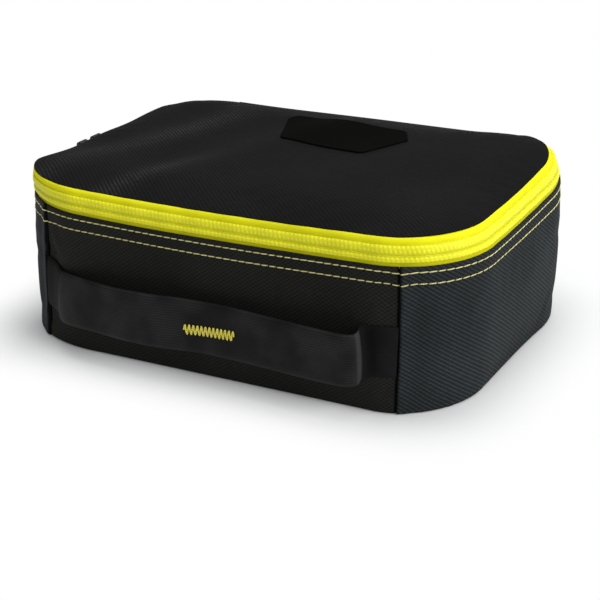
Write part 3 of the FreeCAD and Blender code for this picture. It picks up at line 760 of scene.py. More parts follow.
SKIN = 5.2         # from the outside of the wall cloth to the back of its foam
TURN_UNDER = 1.4   # radius where the wall cloth turns under the floor
SEWN_FLAT = 9.0    # the topstitches hold the cloth flat this far below the wall's top
FLOOR_INSET = 2.4  # from the outside of the wall cloth to the floor's edge
LAP = 0.9          # how far the side cloth stands over the front cloth at their seams


def wall_profile():
    """(outward, height) points of a wall pad: a quarter circle under the foot, straight up to
    a small rounded edge at the top, in over the foam, and back down the inner side."""
    low = np.radians(np.linspace(-90, 0, 9))
    foot = np.stack([-TURN_UNDER + TURN_UNDER * np.cos(low),
                     TURN_UNDER + TURN_UNDER * np.sin(low)], -1)
    foot[:, 1] = np.maximum(foot[:, 1], 0.02)
    climb = np.linspace(TURN_UNDER + 1.6, WALL_TOP - 1.4, 33)
    straight = np.stack([0 * climb, climb], -1)
    high = np.radians(np.linspace(0, 90, 6))
    edge = np.stack([-0.6 + 0.6 * np.cos(high), WALL_TOP - 0.6 + 0.6 * np.sin(high)], -1)
    outer = np.concatenate([foot, straight, edge])
    inner_z = np.linspace(WALL_TOP - 1.7, 1.4, len(outer) - 3)
    inner = np.concatenate([[[-1.25, WALL_TOP - 0.05], [-1.3, WALL_TOP - 1.5]],
                            np.stack([np.full(len(inner_z), -SKIN), inner_z], -1),
                            [[-SKIN + 0.3, 0.4]]])
    return outer, inner


def wall_folds(s, z, seams):
    """Sideways folds of the wall cloth in millimetres, besides what the air gives.

    A broad low wave runs along the wall and a soft hollow follows each front seam a few
    millimetres in, with one short crease beside the left one that runs down away from it.
    All fade out at the floor and at the topstitches.
    """
    wave = 0.35 * np.sin(s / 31.0 + z / 40.0) + 0.25 * np.sin(s / 17.0 - z / 26.0 + 1.3)
    fold = wave * np.sin(math.pi * np.clip(z / WALL_TOP, 0, 1)) ** 0.7
    for seam in seams:
        gap = np.abs(s - seam)
        fold = fold - 0.65 * np.exp(-((gap - 6.0) / 5.0) ** 2) * ease(gap, 0.0, 3.0)
    gap = s - seams[0]
    fold = fold + 1.2 * np.exp(-((gap - 5.1 - 0.36 * (62.0 - z)) / 1.9) ** 2
                               - ((z - 56.0) / 6.5) ** 2) * ease(gap, 0.0, 2.0)
    return fold * ease(z, 0.5, 14.0) * (1 - ease(z, WALL_TOP - SEWN_FLAT, WALL_TOP - 2))


def seam_edge(s, start, end, lap):
    """The cloth curls in over its last 1.5 mm as a quarter circle, and lap lifts it beside
    the seam where it is the upper layer."""
    gap = np.minimum(s - start, end - s)
    r = 1.5
    curl = r - np.sqrt(np.maximum(r * r - (r - np.clip(gap, 0, r)) ** 2, 0.0))
    return lap * (1 - ease(gap, 1.0, 9.0)), curl


def seam_drift(path, s, z):
    """How far the cloth beside the front left seam has slipped along the wall.

    The seam leans evenly, to the right at its top and to the left at the floor, and the
    slip falls off beside it as the bell curve.
    """
    gap = s - front_arc(path, -SEAM_X)
    gap = np.mod(gap + path["all"] / 2, path["all"]) - path["all"] / 2
    lean = 1000 * shape().seam_lean
    return lean * (0.39 - np.clip(1 - z / WALL_TOP, 0, 1)) * np.exp(-(gap / 30.0) ** 2)


def wall_point(path, x, z, off):
    """A place on the front wall at this x and height, off its face."""
    return settled(path, np.atleast_1d(front_arc(path, x)), off, z)[0]


def make_wall(path, name, start, end, lap, material, seams):
    """A wall pad between two seams, swollen by the cloth simulation.

    Its outer side is the outline plus the swell, the folds and the seam's own edge.
    """
    count = int(round((end - start) / 2.2)) | 1
    near = np.array([0.25, 0.6, 1.1, 1.7])
    s = np.unique(np.concatenate([np.linspace(start, end, count), start + near, end - near]))
    outer, inner = wall_profile()
    profile = np.concatenate([outer, inner])
    coarse_s = np.linspace(start, end, max(9, int((end - start) / 4.4)))
    coarse_z = np.linspace(TURN_UNDER, WALL_TOP - 0.6, 17)
    x, y, nx, ny = along(path, coarse_s[:, None], 0.0 * coarse_z[None, :])
    flat = np.stack([x, y, np.broadcast_to(coarse_z, x.shape)], -1)
    outward = np.stack([nx * np.ones_like(x), ny * np.ones_like(x), 0 * x], -1)
    held = np.zeros(x.shape, bool)
    held[[0, -1]] = True
    held[:, [0, -1]] = True
    held |= (coarse_z[None, :] > WALL_TOP - 14.5)
    swell = puffed(flat, held, outward, 1000 * shape().wall_swell)
    fine = 65
    swell = between(swell, np.linspace(0, len(coarse_s) - 1, len(s))[:, None],
                    np.linspace(0, len(coarse_z) - 1, fine)[None, :])
    z = outer[:, 1]
    column = np.clip((z - coarse_z[0]) / (coarse_z[-1] - coarse_z[0]) * (fine - 1), 0, 63.999)
    puff = between(np.clip(swell, -0.6, None), np.arange(len(s))[:, None], column[None, :])
    puff *= ease(z, 0.5, 14.0) * (1 - ease(z, WALL_TOP - SEWN_FLAT - 7, WALL_TOP - SEWN_FLAT))
    puff += wall_folds(s[:, None], z[None, :], seams)
    rise, curl = seam_edge(s, start, end, lap)
    out = np.concatenate([puff, np.zeros((len(s), len(inner)))], 1)
    side = np.concatenate([np.ones(len(outer)), np.zeros(len(inner))])
    out = out + side[None, :] * (rise - curl)[:, None]
    slipped = s[:, None] + seam_drift(path, s[:, None], profile[None, :, 1])
    grid = settled(path, slipped, profile[None, :, 0] + out, profile[None, :, 1])
    faces, uv = carried(grid, s, run_lengths(profile))
    piece = add_piece(name, grid, faces, uv, material)
    # Painted shade over the last 1.5 mm at each seam, where the cloth curls into it.
    mark(piece, "painted_shade", np.repeat(1 - ease(np.minimum(s - start, end - s), 0.5, 1.5),
                                    len(profile)))
    return piece


def band_point(q, h):
    """(outward, height) of a point q up the leaning band and h off its face, in millimetres.

    The band leans in from the wall's top to the lid's edge, and bulges between as a half
    sine wave.
    """
    low = np.array([-0.75, WALL_TOP - 0.9])
    high = np.array([-BAND_INSET, BAND_TOP])
    run = np.linalg.norm(high - low)
    d = (high - low) / run
    n = np.array([d[1], -d[0]])
    bulge = 0.9 * np.sin(math.pi * np.clip(q / run, 0, 1))
    return low + d * np.asarray(q)[..., None] + n * (np.asarray(h) + bulge)[..., None]


SLOT_SHARE = 0.395  # how far up the band the zip's slot lies


def band_length():
    """Length of the leaning band from the wall's top to the lid's edge."""
    return math.hypot(BAND_INSET - 0.75, BAND_TOP - WALL_TOP + 0.9)


def band_sweep(path, s, q, h, weave=None):
    """A zip profile of points q and h carried along the outline, with the tape's ripple.

    The ripple is two sine waves along the zip that grow from the band's fixed edges to its
    middle.
    """
    run = band_length()
    loose = np.sin(math.pi * np.clip(q / run, 0, 1)) ** 0.8
    size = 1000 * shape().zip_ripple
    ripple = size * (np.sin(s / 2.9) + 0.8 * np.sin(s / 7.7 + 1.1) + 1.6 * np.sin(s / 23.0))
    h_all = h[None, :] + ripple[:, None] * loose[None, :]
    if weave is not None:
        h_all = h_all + weave
    points = band_point(np.broadcast_to(q[None, :], h_all.shape), h_all)
    return settled(path, s[:, None], points[..., 0], points[..., 1])


def band_strip(path, name, s, q, outer, inner, nip, material):
    """A strip of cloth on the band. outer and inner are how far its two faces stand off at
    points q going up and coming down, drawn together by nip at its edges."""
    n = len(q)
    h = np.concatenate([outer, inner])
    h[[0, n - 1]] -= nip
    h[[n, 2 * n - 1]] += nip
    q = np.concatenate([q, q[::-1]])
    grid = band_sweep(path, s, q, h)
    faces, uv = carried(grid, s, run_lengths(np.stack([q, h], -1)))
    return add_piece(name, grid, faces, uv, material)


def make_tape(path, name, q_low, q_high, start, end, body, material, roll=0.0, crease=0.0):
    """Zip tape: a thin strip between two heights of the band, rounded at its edges.

    Beyond the crease it is rolled over its piping, as a half sine wave of height roll.
    """
    s = np.linspace(start, end, int((end - start) / 0.9))
    q = np.linspace(q_low, q_high, 22)
    outer = roll * np.sin(math.pi * np.clip((q - crease) / (q_high - crease), 0, 1)) ** 0.7
    piece = band_strip(path, name, s, q, outer, np.full(len(q), -0.7), 0.15, material)
    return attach(piece, body)


def make_coil(path, name, middle, side, wide, start, end, body):
    """One half of the zip coil: a ridge of turns beside the slot.

    side is 1 above the slot and -1 below it, and wide is how far the ridge reaches from the
    slot. The ridge's height swings as a squared sine, one turn to each tooth, most at its
    crown and not at its foot, and the turns lean along the zip by a share of their
    distance from the slot.
    """
    pitch = 1000 * sewing().tooth_pitch
    turns = int(round((end - start) / pitch))
    s = np.linspace(start, end, turns * 6 + 1)
    away = np.array([0.004, 0.004, 0.7, 1.05, 1.3, 1.75, 2.25, 2.8, 3.35, 3.8, 4.1, 4.2, 4.2, 3.2,
                     2.0, 1.2, 0.6, 0.2])
    away = np.where(away > 0.6, 0.6 + (away - 0.6) * (wide - 0.6) / 3.6, away)
    high = np.array([-0.15, 0.40, 0.44, 0.52, 0.68, 0.86, 0.90, 0.90, 0.86, 0.66, 0.38, 0.10,
                     -0.25, -0.3, -0.3, -0.3, -0.25, -0.2])
    crown = np.array([0, 0.0, 0.05, 0.7, 1, 0.7, 0.1, 0.1, 0.7, 1.0, 0.6, 0, 0, 0, 0, 0, 0, 0])
    solid = np.array([0, 0.3, 0.35, 0.7, 0.9, 1, 1, 1, 1, 0.9, 0.6, 0.2, 0, 0, 0, 0, 0, 0])
    phase = math.pi * (s[:, None] + side * 0.35 * away[None, :]) / pitch
    swing = np.sin(phase) ** 2
    weave = 0.34 * (swing - 0.6) * crown[None, :]
    grid = band_sweep(path, s, middle + side * away, high, weave)
    faces, uv = carried(grid, s, run_lengths(np.stack([away, high], -1)))
    piece = add_piece(name, grid, faces, uv, coil_material())
    # Painted light of the coil: lighter on the crowns of its turns, with painted shade at their
    # feet and in the groove.
    mark(piece, "coil_painted_light", solid[None, :] * 0.5 + 0.5 * crown[None, :] * swing)
    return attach(piece, body)


def by_corner(x, y, values):
    """The value of the corner whose quarter of the bag holds each place."""
    back_left, front_left, front_right, back_right = values
    return np.where(x < 0, np.where(y > 0, back_left, front_left),
                    np.where(y > 0, back_right, front_right))


def from_rim(x, y, inset):
    """Distance inwards from the outline at this inset."""
    r = by_corner(x, y, corner_radii(inset))
    qx, qy = np.abs(x) - (HALF_X - inset) + r, np.abs(y) - (HALF_Y - inset) + r
    return r - np.minimum(np.maximum(qx, qy), 0) - np.hypot(np.maximum(qx, 0), np.maximum(qy, 0))


def lid_plan(nu, nv, inset):
    """An nu by nv grid that fills the lid's outline at this inset.

    It is an even grid, drawn in along the rays to the rounded corners by the sixth power of
    how near a point is to the rim, so that its border is the outline itself.
    """
    hx, hy = HALF_X - inset, HALF_Y - inset
    a, b = np.meshgrid(np.linspace(-1, 1, nu), np.linspace(-1, 1, nv), indexing="ij")
    near = np.maximum(np.maximum(np.abs(a), np.abs(b)), 1e-9)
    ax, by = a / near * hx, b / near * hy
    r = by_corner(ax, by, corner_radii(inset))
    cx, cy = hx - r, hy - r
    px, py = np.abs(ax), np.abs(by)
    # where the ray to (px, py) meets the corner's circle
    aa = px ** 2 + py ** 2
    bb = px * cx + py * cy
    cc = cx ** 2 + cy ** 2 - r ** 2
    k = (bb + np.sqrt(np.maximum(bb ** 2 - aa * cc, 0.0))) / np.maximum(aa, 1e-9)
    corner = (px * k > cx) & (py * k > cy)
    k = np.where(corner, np.minimum(k, 1.0), 1.0)
    pull = 1 - (1 - k) * near ** 6
    return a * hx * pull, b * hy * pull


def across_waves(x, y):
    """Distance across the lid at right angles to its slanting waves."""
    return 0.94 * x - 0.34 * y


def lid_height(x, y, inset):
    """Height of the lid's cloth above the zip band's top, before it is puffed.

    From the edge it rises to its crown as one minus a squared fall, with broad shallow waves
    that cross it at a slant and fade out at the edge.
    """
    s = shape()
    d = from_rim(x, y, inset)
    t = np.clip(d / (1000 * s.lid_shoulder), 0, 1)
    crown = 1000 * s.lid_crown * (1 - 0.6 * ease(np.abs(x), 55.0, 115.0))
    rise = crown * (1 - (1 - t) ** 2.2)
    across = across_waves(x, y)
    waves = sum(high * np.exp(-((across - at) / wide) ** 2) for high, at, wide in
                ((1.5, -74, 13), (-0.9, -42, 12), (1.2, -16, 14), (0.4, 55, 18)))
    low_middle = -0.5 * hump(x, y, 30, 40, 40)
    return rise + (waves + low_middle) * ease(d, 2.0, 26.0)


def lid_puff(inset):
    """The cloth simulation's swell of the lid, on its own even grid."""
    nu, nv = 61, 41
    x, y = lid_plan(nu, nv, inset)
    z = BAND_TOP + lid_height(x, y, inset)
    up = np.zeros((nu, nv, 3))
    up[..., 2] = 1
    held = np.zeros((nu, nv), bool)
    held[[0, -1]] = held[:, [0, -1]] = True
    return puffed(np.stack([x, y, z], -1), held, up, 1000 * shape().lid_swell,
                  pressure=3.0, slack=0.003)


def lid_surface(x, y, inset, puff):
    """Height of the finished lid over any point of it."""
    nu, nv = puff.shape
    u = np.clip((x / (HALF_X - inset) + 1) / 2 * (nu - 1), 0, nu - 1.001)
    v = np.clip((y / (HALF_Y - inset) + 1) / 2 * (nv - 1), 0, nv - 1.001)
    return BAND_TOP + lid_height(x, y, inset) + between(puff, u, v)


def slab(name, x, y, top, bottom, edge_rows, material):
    """A closed pad from a grid of places, its top and bottom heights, and rim rows between.

    edge_rows are (outward, share) pairs down the rim: how far it stands out there, and the
    share of the way from the top to the bottom.
    """
    nu, nv = x.shape
    ring = np.concatenate([np.arange(nu) * nv, (nu - 1) * nv + np.arange(1, nv),
                           np.arange(nu - 2, -1, -1) * nv + nv - 1, np.arange(nv - 2, 0, -1)])
    px, py = x.ravel()[ring], y.ravel()[ring]
    tx, ty = np.roll(px, -1) - np.roll(px, 1), np.roll(py, -1) - np.roll(py, 1)
    size = np.hypot(tx, ty)
    ox, oy = ty / size, -tx / size
    points = [np.stack([x, y, top], -1).reshape(-1, 3), np.stack([x, y, bottom], -1).reshape(-1, 3)]
    high, low = top.ravel()[ring], bottom.ravel()[ring]
    for out, share in edge_rows:
        points.append(np.stack([px + ox * out, py + oy * out, high + (low - high) * share], -1))
    points = np.concatenate(points)
    faces, rows, cols = grid_faces(nu, nv)
    count = nu * nv
    levels = [ring] + [2 * count + k * len(ring) + np.arange(len(ring))
                       for k in range(len(edge_rows))] + [ring + count]
    rim = [np.stack([np.roll(a, -1), a, b, np.roll(b, -1)], -1)
           for a, b in zip(levels[:-1], levels[1:])]
    all_faces = np.concatenate([faces, faces[:, ::-1] + count] + rim)
    flat = points[:, :2].copy()
    for k in range(len(edge_rows)):
        rows_at = slice(2 * count + k * len(ring), 2 * count + (k + 1) * len(ring))
        flat[rows_at] += np.stack([ox, oy], -1) * (k + 1) * 0.4
    return add_piece(name, slouch(points), all_faces, flat[all_faces], material)


def capsule(rings, sides):
    """Station, across and out shares of a short thread: thick in the middle, round at its
    ends, as the root of one minus the fourth power of the station."""
    t = np.linspace(-1, 1, rings)
    thick = np.sqrt(np.maximum(1 - np.abs(t) ** 4, 0.02))
    a = np.linspace(0, 2 * math.pi, sides, endpoint=False)
    return (np.repeat(t[:, None], sides, 1), thick[:, None] * np.cos(a)[None, :],
            thick[:, None] * np.sin(a)[None, :])


def make_stitches(path, name, drop, seams):
    """A row of topstitches right round the wall, drop below its top.

    Each stitch is a short thread that sinks at its ends. Its place is the outline at its own
    arc length, raised by the lap of the seam it crosses and kinked a little beside it.
    """
    w = sewing()
    pitch = 1000 * w.stitch_pitch
    count = int(round(path["all"] / pitch))
    rings, sides = 7, 6
    t, across, out = capsule(rings, sides)
    centre = (np.arange(count) + 0.5) * path["all"] / count
    rng = np.random.default_rng(11 + int(drop * 10))
    run = 1000 * w.stitch_run / 2 * (1 + 0.06 * rng.standard_normal(count))
    thick = 1000 * w.stitch_thread / 2
    s = centre[:, None, None] + t[None] * run[:, None, None]
    cloth = s - seam_drift(path, s, WALL_TOP - drop)
    left, right = seams
    near = np.minimum(np.abs(cloth - left), np.abs(cloth - right))
    kink = 0.55 * np.exp(-(near / 4.0) ** 2) + 0.12 * np.sin(s / 19.0)
    z = WALL_TOP - drop - kink + 0.10 * t[None] + across[None] * thick
    front = (cloth > left) & (cloth < right)
    side = np.where(cloth < left, cloth + path["all"], cloth)
    rise, curl = seam_edge(side, right, left + path["all"], LAP)
    _, front_curl = seam_edge(cloth, left, right, 0.0)
    rise, curl = np.where(front, 0.0, rise), np.where(front, front_curl, curl)
    at = np.where(front, cloth, side)
    h = wall_folds(at, z, [left, right, left + path["all"]]) + rise - 0.45 * curl
    h = h + (out[None] * 0.8 + 0.30) * thick - 0.16 * np.abs(t[None]) ** 8
    grid = settled(path, s, h, z).reshape(count, rings * sides, 3)
    faces, rows, cols = grid_faces(rings, sides, False, True)
    k = np.arange(sides // 2 - 1)
    ends = np.stack([k, k + 1, sides - 2 - k, sides - 1 - k], -1)
    faces = np.concatenate([faces, ends[:, ::-1], ends + (rings - 1) * sides])
    station = np.linspace(0, 3.7, rings)
    uv = np.stack([station[rows], cols * 0.37], -1)
    uv = np.concatenate([uv, np.zeros((2 * len(ends), 4, 2))])
    all_faces = (faces[None] + (np.arange(count) * rings * sides)[:, None, None]).reshape(-1, 4)
    all_uv = np.broadcast_to(uv[None], (count, *uv.shape)).reshape(-1, 4, 2)
    points = grid.reshape(-1, 3)
    one = signed_volume(points - points[:rings * sides].mean(0), all_faces[:len(faces)])
    if one < 0:
        all_faces, all_uv = all_faces[:, ::-1], all_uv[:, ::-1]
    piece = add_piece(name, points, all_faces, all_uv, thread_material("topstitch_thread",
                      colours().thread))
    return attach(piece, "bag")


STRAP_ROWS = 401   # stations along the whole strap
STRAP_JOIN = 7.0   # x where its two halves meet, under the tack
STRAP_HALF = 12.5  # half the width of the webbing


def strap_surface(high, low, thick=1.5):
    """Points of flat webbing on edge, between an upper and a lower line in space.

    Across its width it is straight but for a slight belly, and its section is a flat oval:
    thickness times the root of one minus the share of the half width to the eighth power.
    """
    t = np.linspace(-1, 1, 15)
    base = low[:, None] + (high - low)[:, None] * ((t + 1) / 2)[None, :, None]
    d = np.gradient(base, axis=0)
    out = np.cross(d, (high - low)[:, None])
    out /= np.linalg.norm(out, axis=2)[..., None]
    half = thick / 2 * np.maximum(1 - np.abs(t) ** 8, 0.02) ** 0.5
    belly = 0.35 * (1 - t ** 2)
    grid = np.concatenate([base + out * (belly + half)[None, :, None],
                           (base + out * (belly - half)[None, :, None])[:, ::-1]], 1)
    return grid, np.concatenate([t * STRAP_HALF, 2 * STRAP_HALF + t * STRAP_HALF])


# ---------------------------------------------------------------- operators

class BAG_OT_walls(bpy.types.Operator):
    """Padded front and side walls and the floor, with their seams"""
    bl_idname = "bag.walls"
    bl_label = "Walls and floor"

    def execute(self, context):
        path = outline()
        left, right = front_arc(path, -SEAM_X), front_arc(path, SEAM_X)
        seams = [left, right, left + path["all"], right - path["all"]]
        front = make_wall(path, "front_wall", left, right, 0.0, front_cloth(),
                          seams)
        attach(front, "bag")
        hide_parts("front_panel")
        side = make_wall(path, "side_wall", right, left + path["all"], LAP, side_cloth(),
                         seams)
        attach(side, "bag")
        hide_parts("side_wrap_panel", "wall_foam")
        x, y = lid_plan(101, 67, FLOOR_INSET)
        d = from_rim(x, y, FLOOR_INSET)
        top = FLOOR_TOP - 0.9 + 0 * x
        sag = 0.35 + 0.25 * np.sin(x / 21.0) * np.sin(y / 17.0)
        base = slab("floor_pad", x, y, top, 0.05 + sag * ease(d, 0.0, 12.0),
                    [(0.25, 0.2), (0.3, 0.8)], front_cloth())
        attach(base, "bag")
        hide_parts("base_panel", "base_foam")
        return {"FINISHED"}


class BAG_OT_lining(bpy.types.Operator):
    """Coated lining of the walls and the floor, and the tape round the wall's top edge"""
    bl_idname = "bag.lining"
    bl_label = "Lining and rim tape"

    def execute(self, context):
        path = outline()
        s = np.linspace(0, path["all"], 380, endpoint=False)
        z = np.linspace(FLOOR_TOP + 0.1, WALL_TOP - 1.6, 29)
        share = np.sin(math.pi * (z - z[0]) / (z[-1] - z[0]))
        outer = np.stack([np.full(len(z), -LINING_INSET + 0.05), z], -1)
        inner = np.stack([np.full(len(z), -LINING_INSET - 0.7), z[::-1]], -1)
        profile = np.concatenate([outer, inner])
        crease = (0.35 * np.sin(s[:, None] / 9.0 + z[None, :] / 13.0)
                  * np.sin(s[:, None] / 31.0) - 0.2) * share[None, :]
        wall = make_ring(path, "wall_lining", len(s), profile, lining_cloth(),
                         out=np.concatenate([0 * crease, crease[:, ::-1]], 1))
        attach(wall, "bag")
        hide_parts("wall_liner")
        inset = LINING_INSET + 0.9
        x, y = lid_plan(101, 67, inset)
        bump = 0.25 * np.sin(x / 15.0 + y / 24.0) * np.sin(y / 19.0)
        top = FLOOR_TOP + (bump + 0.2) * ease(from_rim(x, y, inset), 1.0, 15.0)
        floor = slab("floor_lining", x, y, top, top - 0.7, [(0.15, 0.5)],
                     lining_cloth())
        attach(floor, "bag")
        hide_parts("base_liner")
        rim_low, rim_high = cad("rim_binding")
        out, back = HALF_Y - rim_high[1], HALF_Y - rim_high[1] + 5.7
        a = np.radians(np.linspace(90, 0, 7))
        outer = np.concatenate([
            [[-out, rim_low[2] + 0.1], [-out - 0.05, rim_high[2] - 0.15],
             [-out - 0.4, rim_high[2]]],
            np.stack([-back + 1.2 - 1.2 * np.cos(a), rim_high[2] - 1.2
                      + 1.2 * np.sin(a)], -1),
            [[-back, rim_high[2] - 5.5], [-back, rim_high[2] - 8.6]]])
        inner = np.concatenate([
            [[-back + 0.75, rim_high[2] - 8.6], [-back + 0.75, rim_high[2] - 5.5]],
            np.stack([-back + 1.2 - 0.45 * np.cos(a[::-1]), rim_high[2] - 1.2
                      + 0.45 * np.sin(a[::-1])], -1),
            [[-out - 0.9, rim_high[2] - 0.75], [-out - 0.6, rim_low[2] + 0.2],
             [-out - 0.5, rim_low[2] + 0.1]]])
        profile = np.concatenate([outer, inner])
        s = np.linspace(0, path["all"], 420, endpoint=False)
        rim = make_ring(path, "rim_tape", len(s), profile, binding_cloth(),
                        lift=0.35 * (0.12 * np.sin(s[:, None] / 2.1)))
        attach(rim, "bag")
        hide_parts("rim_binding")
        return {"FINISHED"}


class BAG_OT_zip(bpy.types.Operator):
    """Yellow zip band: both tapes, both halves of the coil and the covers at its ends"""
    bl_idname = "bag.zip"
    bl_label = "Zip band"

    def execute(self, context):
        path = outline()
        start, end = STRIP_X + 0.2, path["all"] - STRIP_X - 0.2
        run = band_length()
        middle = run * SLOT_SHARE
        # The lower tape is the zip tape at two thirds of its colour: painted shade under the coil.
        lower = make_tape(path, "zip_tape_lower", 0.0, middle - 0.15, start, end, "bag",
                          tape_cloth("zip_tape_shaded", 0.66))
        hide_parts("lower_zip_tape")
        upper = make_tape(path, "zip_tape_upper", middle + 0.15, run - 0.1, start, end, "lid",
                          tape_cloth(), roll=0.75, crease=middle + 4.6)
        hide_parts("upper_zip_tape")
        low = make_coil(path, "zip_coil_lower", middle, -1, 3.0, start + 2, end - 2, "bag")
        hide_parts("lower_zip_coil")
        high = make_coil(path, "zip_coil_upper", middle, 1, 4.2, start + 2, end - 2, "lid")
        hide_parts("upper_zip_coil")
        for name, centre in (("zip_end_left", (STRIP_X + COVER_X) / 2),
                             ("zip_end_right", path["all"] - (STRIP_X + COVER_X) / 2)):
            t, across, out = capsule(19, 24)
            s = centre + t * (STRIP_X - COVER_X) / 2
            q = run * 0.40 + np.sign(across) * np.abs(across) ** 0.6 * 2.6
            h = np.sign(out) * np.abs(out) ** 0.7 * 0.55 + 0.45
            points = band_point(q, h)
            grid = settled(path, s, points[..., 0], points[..., 1])
            faces, uv = carried(grid, s[:, 0], np.linspace(0, 12, 24))
            cover = add_piece(name, grid, faces, uv, front_cloth())
            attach(cover, "bag")
            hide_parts("zip_end_cover_left" if "left" in name else "zip_end_cover_right")
        return {"FINISHED"}


class BAG_OT_hinge(bpy.types.Operator):
    """Strip of cloth across the back that the lid turns on"""
    bl_idname = "bag.hinge"
    bl_label = "Back hinge strip"

    def execute(self, context):
        path = outline()
        s = np.linspace(-STRIP_X - 0.4, STRIP_X + 0.4, 161)
        run = band_length()
        q = np.linspace(-0.5, run + 0.6, 28)
        fold = 0.5 * np.sin(math.pi * np.clip(q / run, 0, 1)) ** 2
        strip = band_strip(path, "back_hinge_strip", s, q, fold, fold[::-1] - 1.0, 0.2,
                           side_cloth())
        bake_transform(strip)
        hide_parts("back_rim_strip", "lid_hinge_strip")
        return {"FINISHED"}


class BAG_OT_topstitch(bpy.types.Operator):
    """Two rows of pale yellow stitches under the zip band"""
    bl_idname = "bag.topstitch"
    bl_label = "Topstitching"

    def execute(self, context):
        path = outline()
        left, right = front_arc(path, -SEAM_X), front_arc(path, SEAM_X)
        w = sewing()
        make_stitches(path, "topstitch_upper", 1000 * w.upper_row, [left, right])
        make_stitches(path, "topstitch_lower", 1000 * w.lower_row, [left, right])
        return {"FINISHED"}


class BAG_OT_lid(bpy.types.Operator):
    """Padded lid with its bare badge, its lining and the tape round its inner edge"""
    bl_idname = "bag.lid"
    bl_label = "Lid"

    def execute(self, context):
        inset = BAND_INSET - 0.25
        puff = lid_puff(inset)
        x, y = lid_plan(141, 95, inset)
        top = lid_surface(x, y, inset, puff)
        pad = slab("lid_pad", x, y, top, 0 * x + LID_UNDER + 1.0,
                   [(0.3, 0.05), (0.42, 0.14), (0.15, 0.28), (-2.0, 0.4), (-3.4, 0.8)],
                   lid_cloth())
        across = across_waves(x, y)
        # Painted highlight: two bands along the lid's slanting waves, where its ribs would catch
        # the light.
        painted_highlight = (np.exp(-((across + 71) / 8.5) ** 2) * (0.75 + 0.25 * np.sin(y / 17.0 + 0.9))
                  + 0.9 * np.exp(-((across + 29) / 7.0) ** 2) * ease(-y, 5.0, 45.0))
        mark(pad, "painted_highlight", painted_highlight)
        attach(pad, "lid")
        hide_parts("lid_panel", "lid_foam")
        under = HALF_X - cad("lid_liner")[1][0]
        x, y = lid_plan(101, 67, under)
        sag = 0.3 + 0.3 * np.sin(x / 18.0 + 0.6) * np.sin(y / 14.0)
        sag = sag * ease(from_rim(x, y, under), 1.0, 18.0)
        lining = slab("lid_lining", x, y, LID_UNDER + 0.9 - 0.2 * sag, LID_UNDER - 0.4 * sag,
                      [(0.1, 0.5)], lining_cloth())
        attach(lining, "lid")
        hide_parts("lid_liner")
        edge_low, edge_high = cad("lid_binding")
        out = HALF_Y - edge_high[1]
        a = np.radians(np.linspace(-180, 0, 13))
        wide, mid = 1.1, (edge_low[2] + edge_high[2]) / 2
        outer = np.stack([-out - wide + wide * np.cos(a)[::-1],
                          mid - 0.2 + 1.0 * np.sin(a)[::-1]], -1)
        inner = np.stack([-out - wide + wide * np.cos(a), mid + 0.2 - 1.0 * np.sin(a)], -1)
        tape = make_ring(outline(), "lid_edge_tape", 380, np.concatenate([outer, inner]),
                         binding_cloth())
        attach(tape, "lid")
        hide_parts("lid_binding")
        self.badge(inset, puff)
        return {"FINISHED"}

    def badge(self, inset, puff):
        """The badge follows the lid, turned a little on it. Each side is a line of straight
        runs from the narrow front through the widest place to the back, rounded off at both
        ends by a quarter circle."""
        wide, deep = 0.49 * (PATCH_HIGH - PATCH_LOW)[:2]
        centre = (PATCH_HIGH + PATCH_LOW)[:2] / 2 + [3.0, -7.0]
        turn = math.radians(-5.0)
        b = (1 - np.cos(np.linspace(0, math.pi, 61))) / 2
        row = deep - 2 * deep * b
        left = np.interp(row, [-deep, 0.66 * deep, deep], [wide - 15.7, wide + 2.4, wide + 0.6])
        right = np.interp(row, [-deep, 0.38 * deep, deep], [wide - 10.2, wide + 0.3, wide - 7.7])
        r = 2.5
        for gap in (deep - row, row + deep):
            near = np.clip(gap, 0, r)
            bite = r - np.sqrt(np.maximum(r * r - (r - near) ** 2, 0.0))
            left, right = left - bite, right - bite
        share = (1 + np.sin(np.linspace(-math.pi / 2, math.pi / 2, 81))[:, None]) / 2
        across = share * (left + right)[None, :] - left[None, :]
        away = np.broadcast_to(row[None, :], across.shape)
        x = centre[0] + across * math.cos(turn) - away * math.sin(turn)
        y = centre[1] + across * math.sin(turn) + away * math.cos(turn)
        base = lid_surface(x, y, inset, puff)
        thick = PATCH_HIGH[2] - PATCH_LOW[2] + 0.15
        gap = np.minimum(np.minimum(across + left, right - across), deep - np.abs(away))
        sunk = 0.18  # the field inside its raised border
        field = sunk * (1 - ease(gap, 1.4, 2.2))
        top = base + thick - sunk + field - 0.35 * (1 - ease(gap, 0.0, 0.7))
        badge = slab("lid_badge", x, y, top, base - 0.4, [(0.12, 0.15), (0.15, 0.6)],
                     badge_material())
        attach(badge, "lid")
        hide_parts("lid_patch")


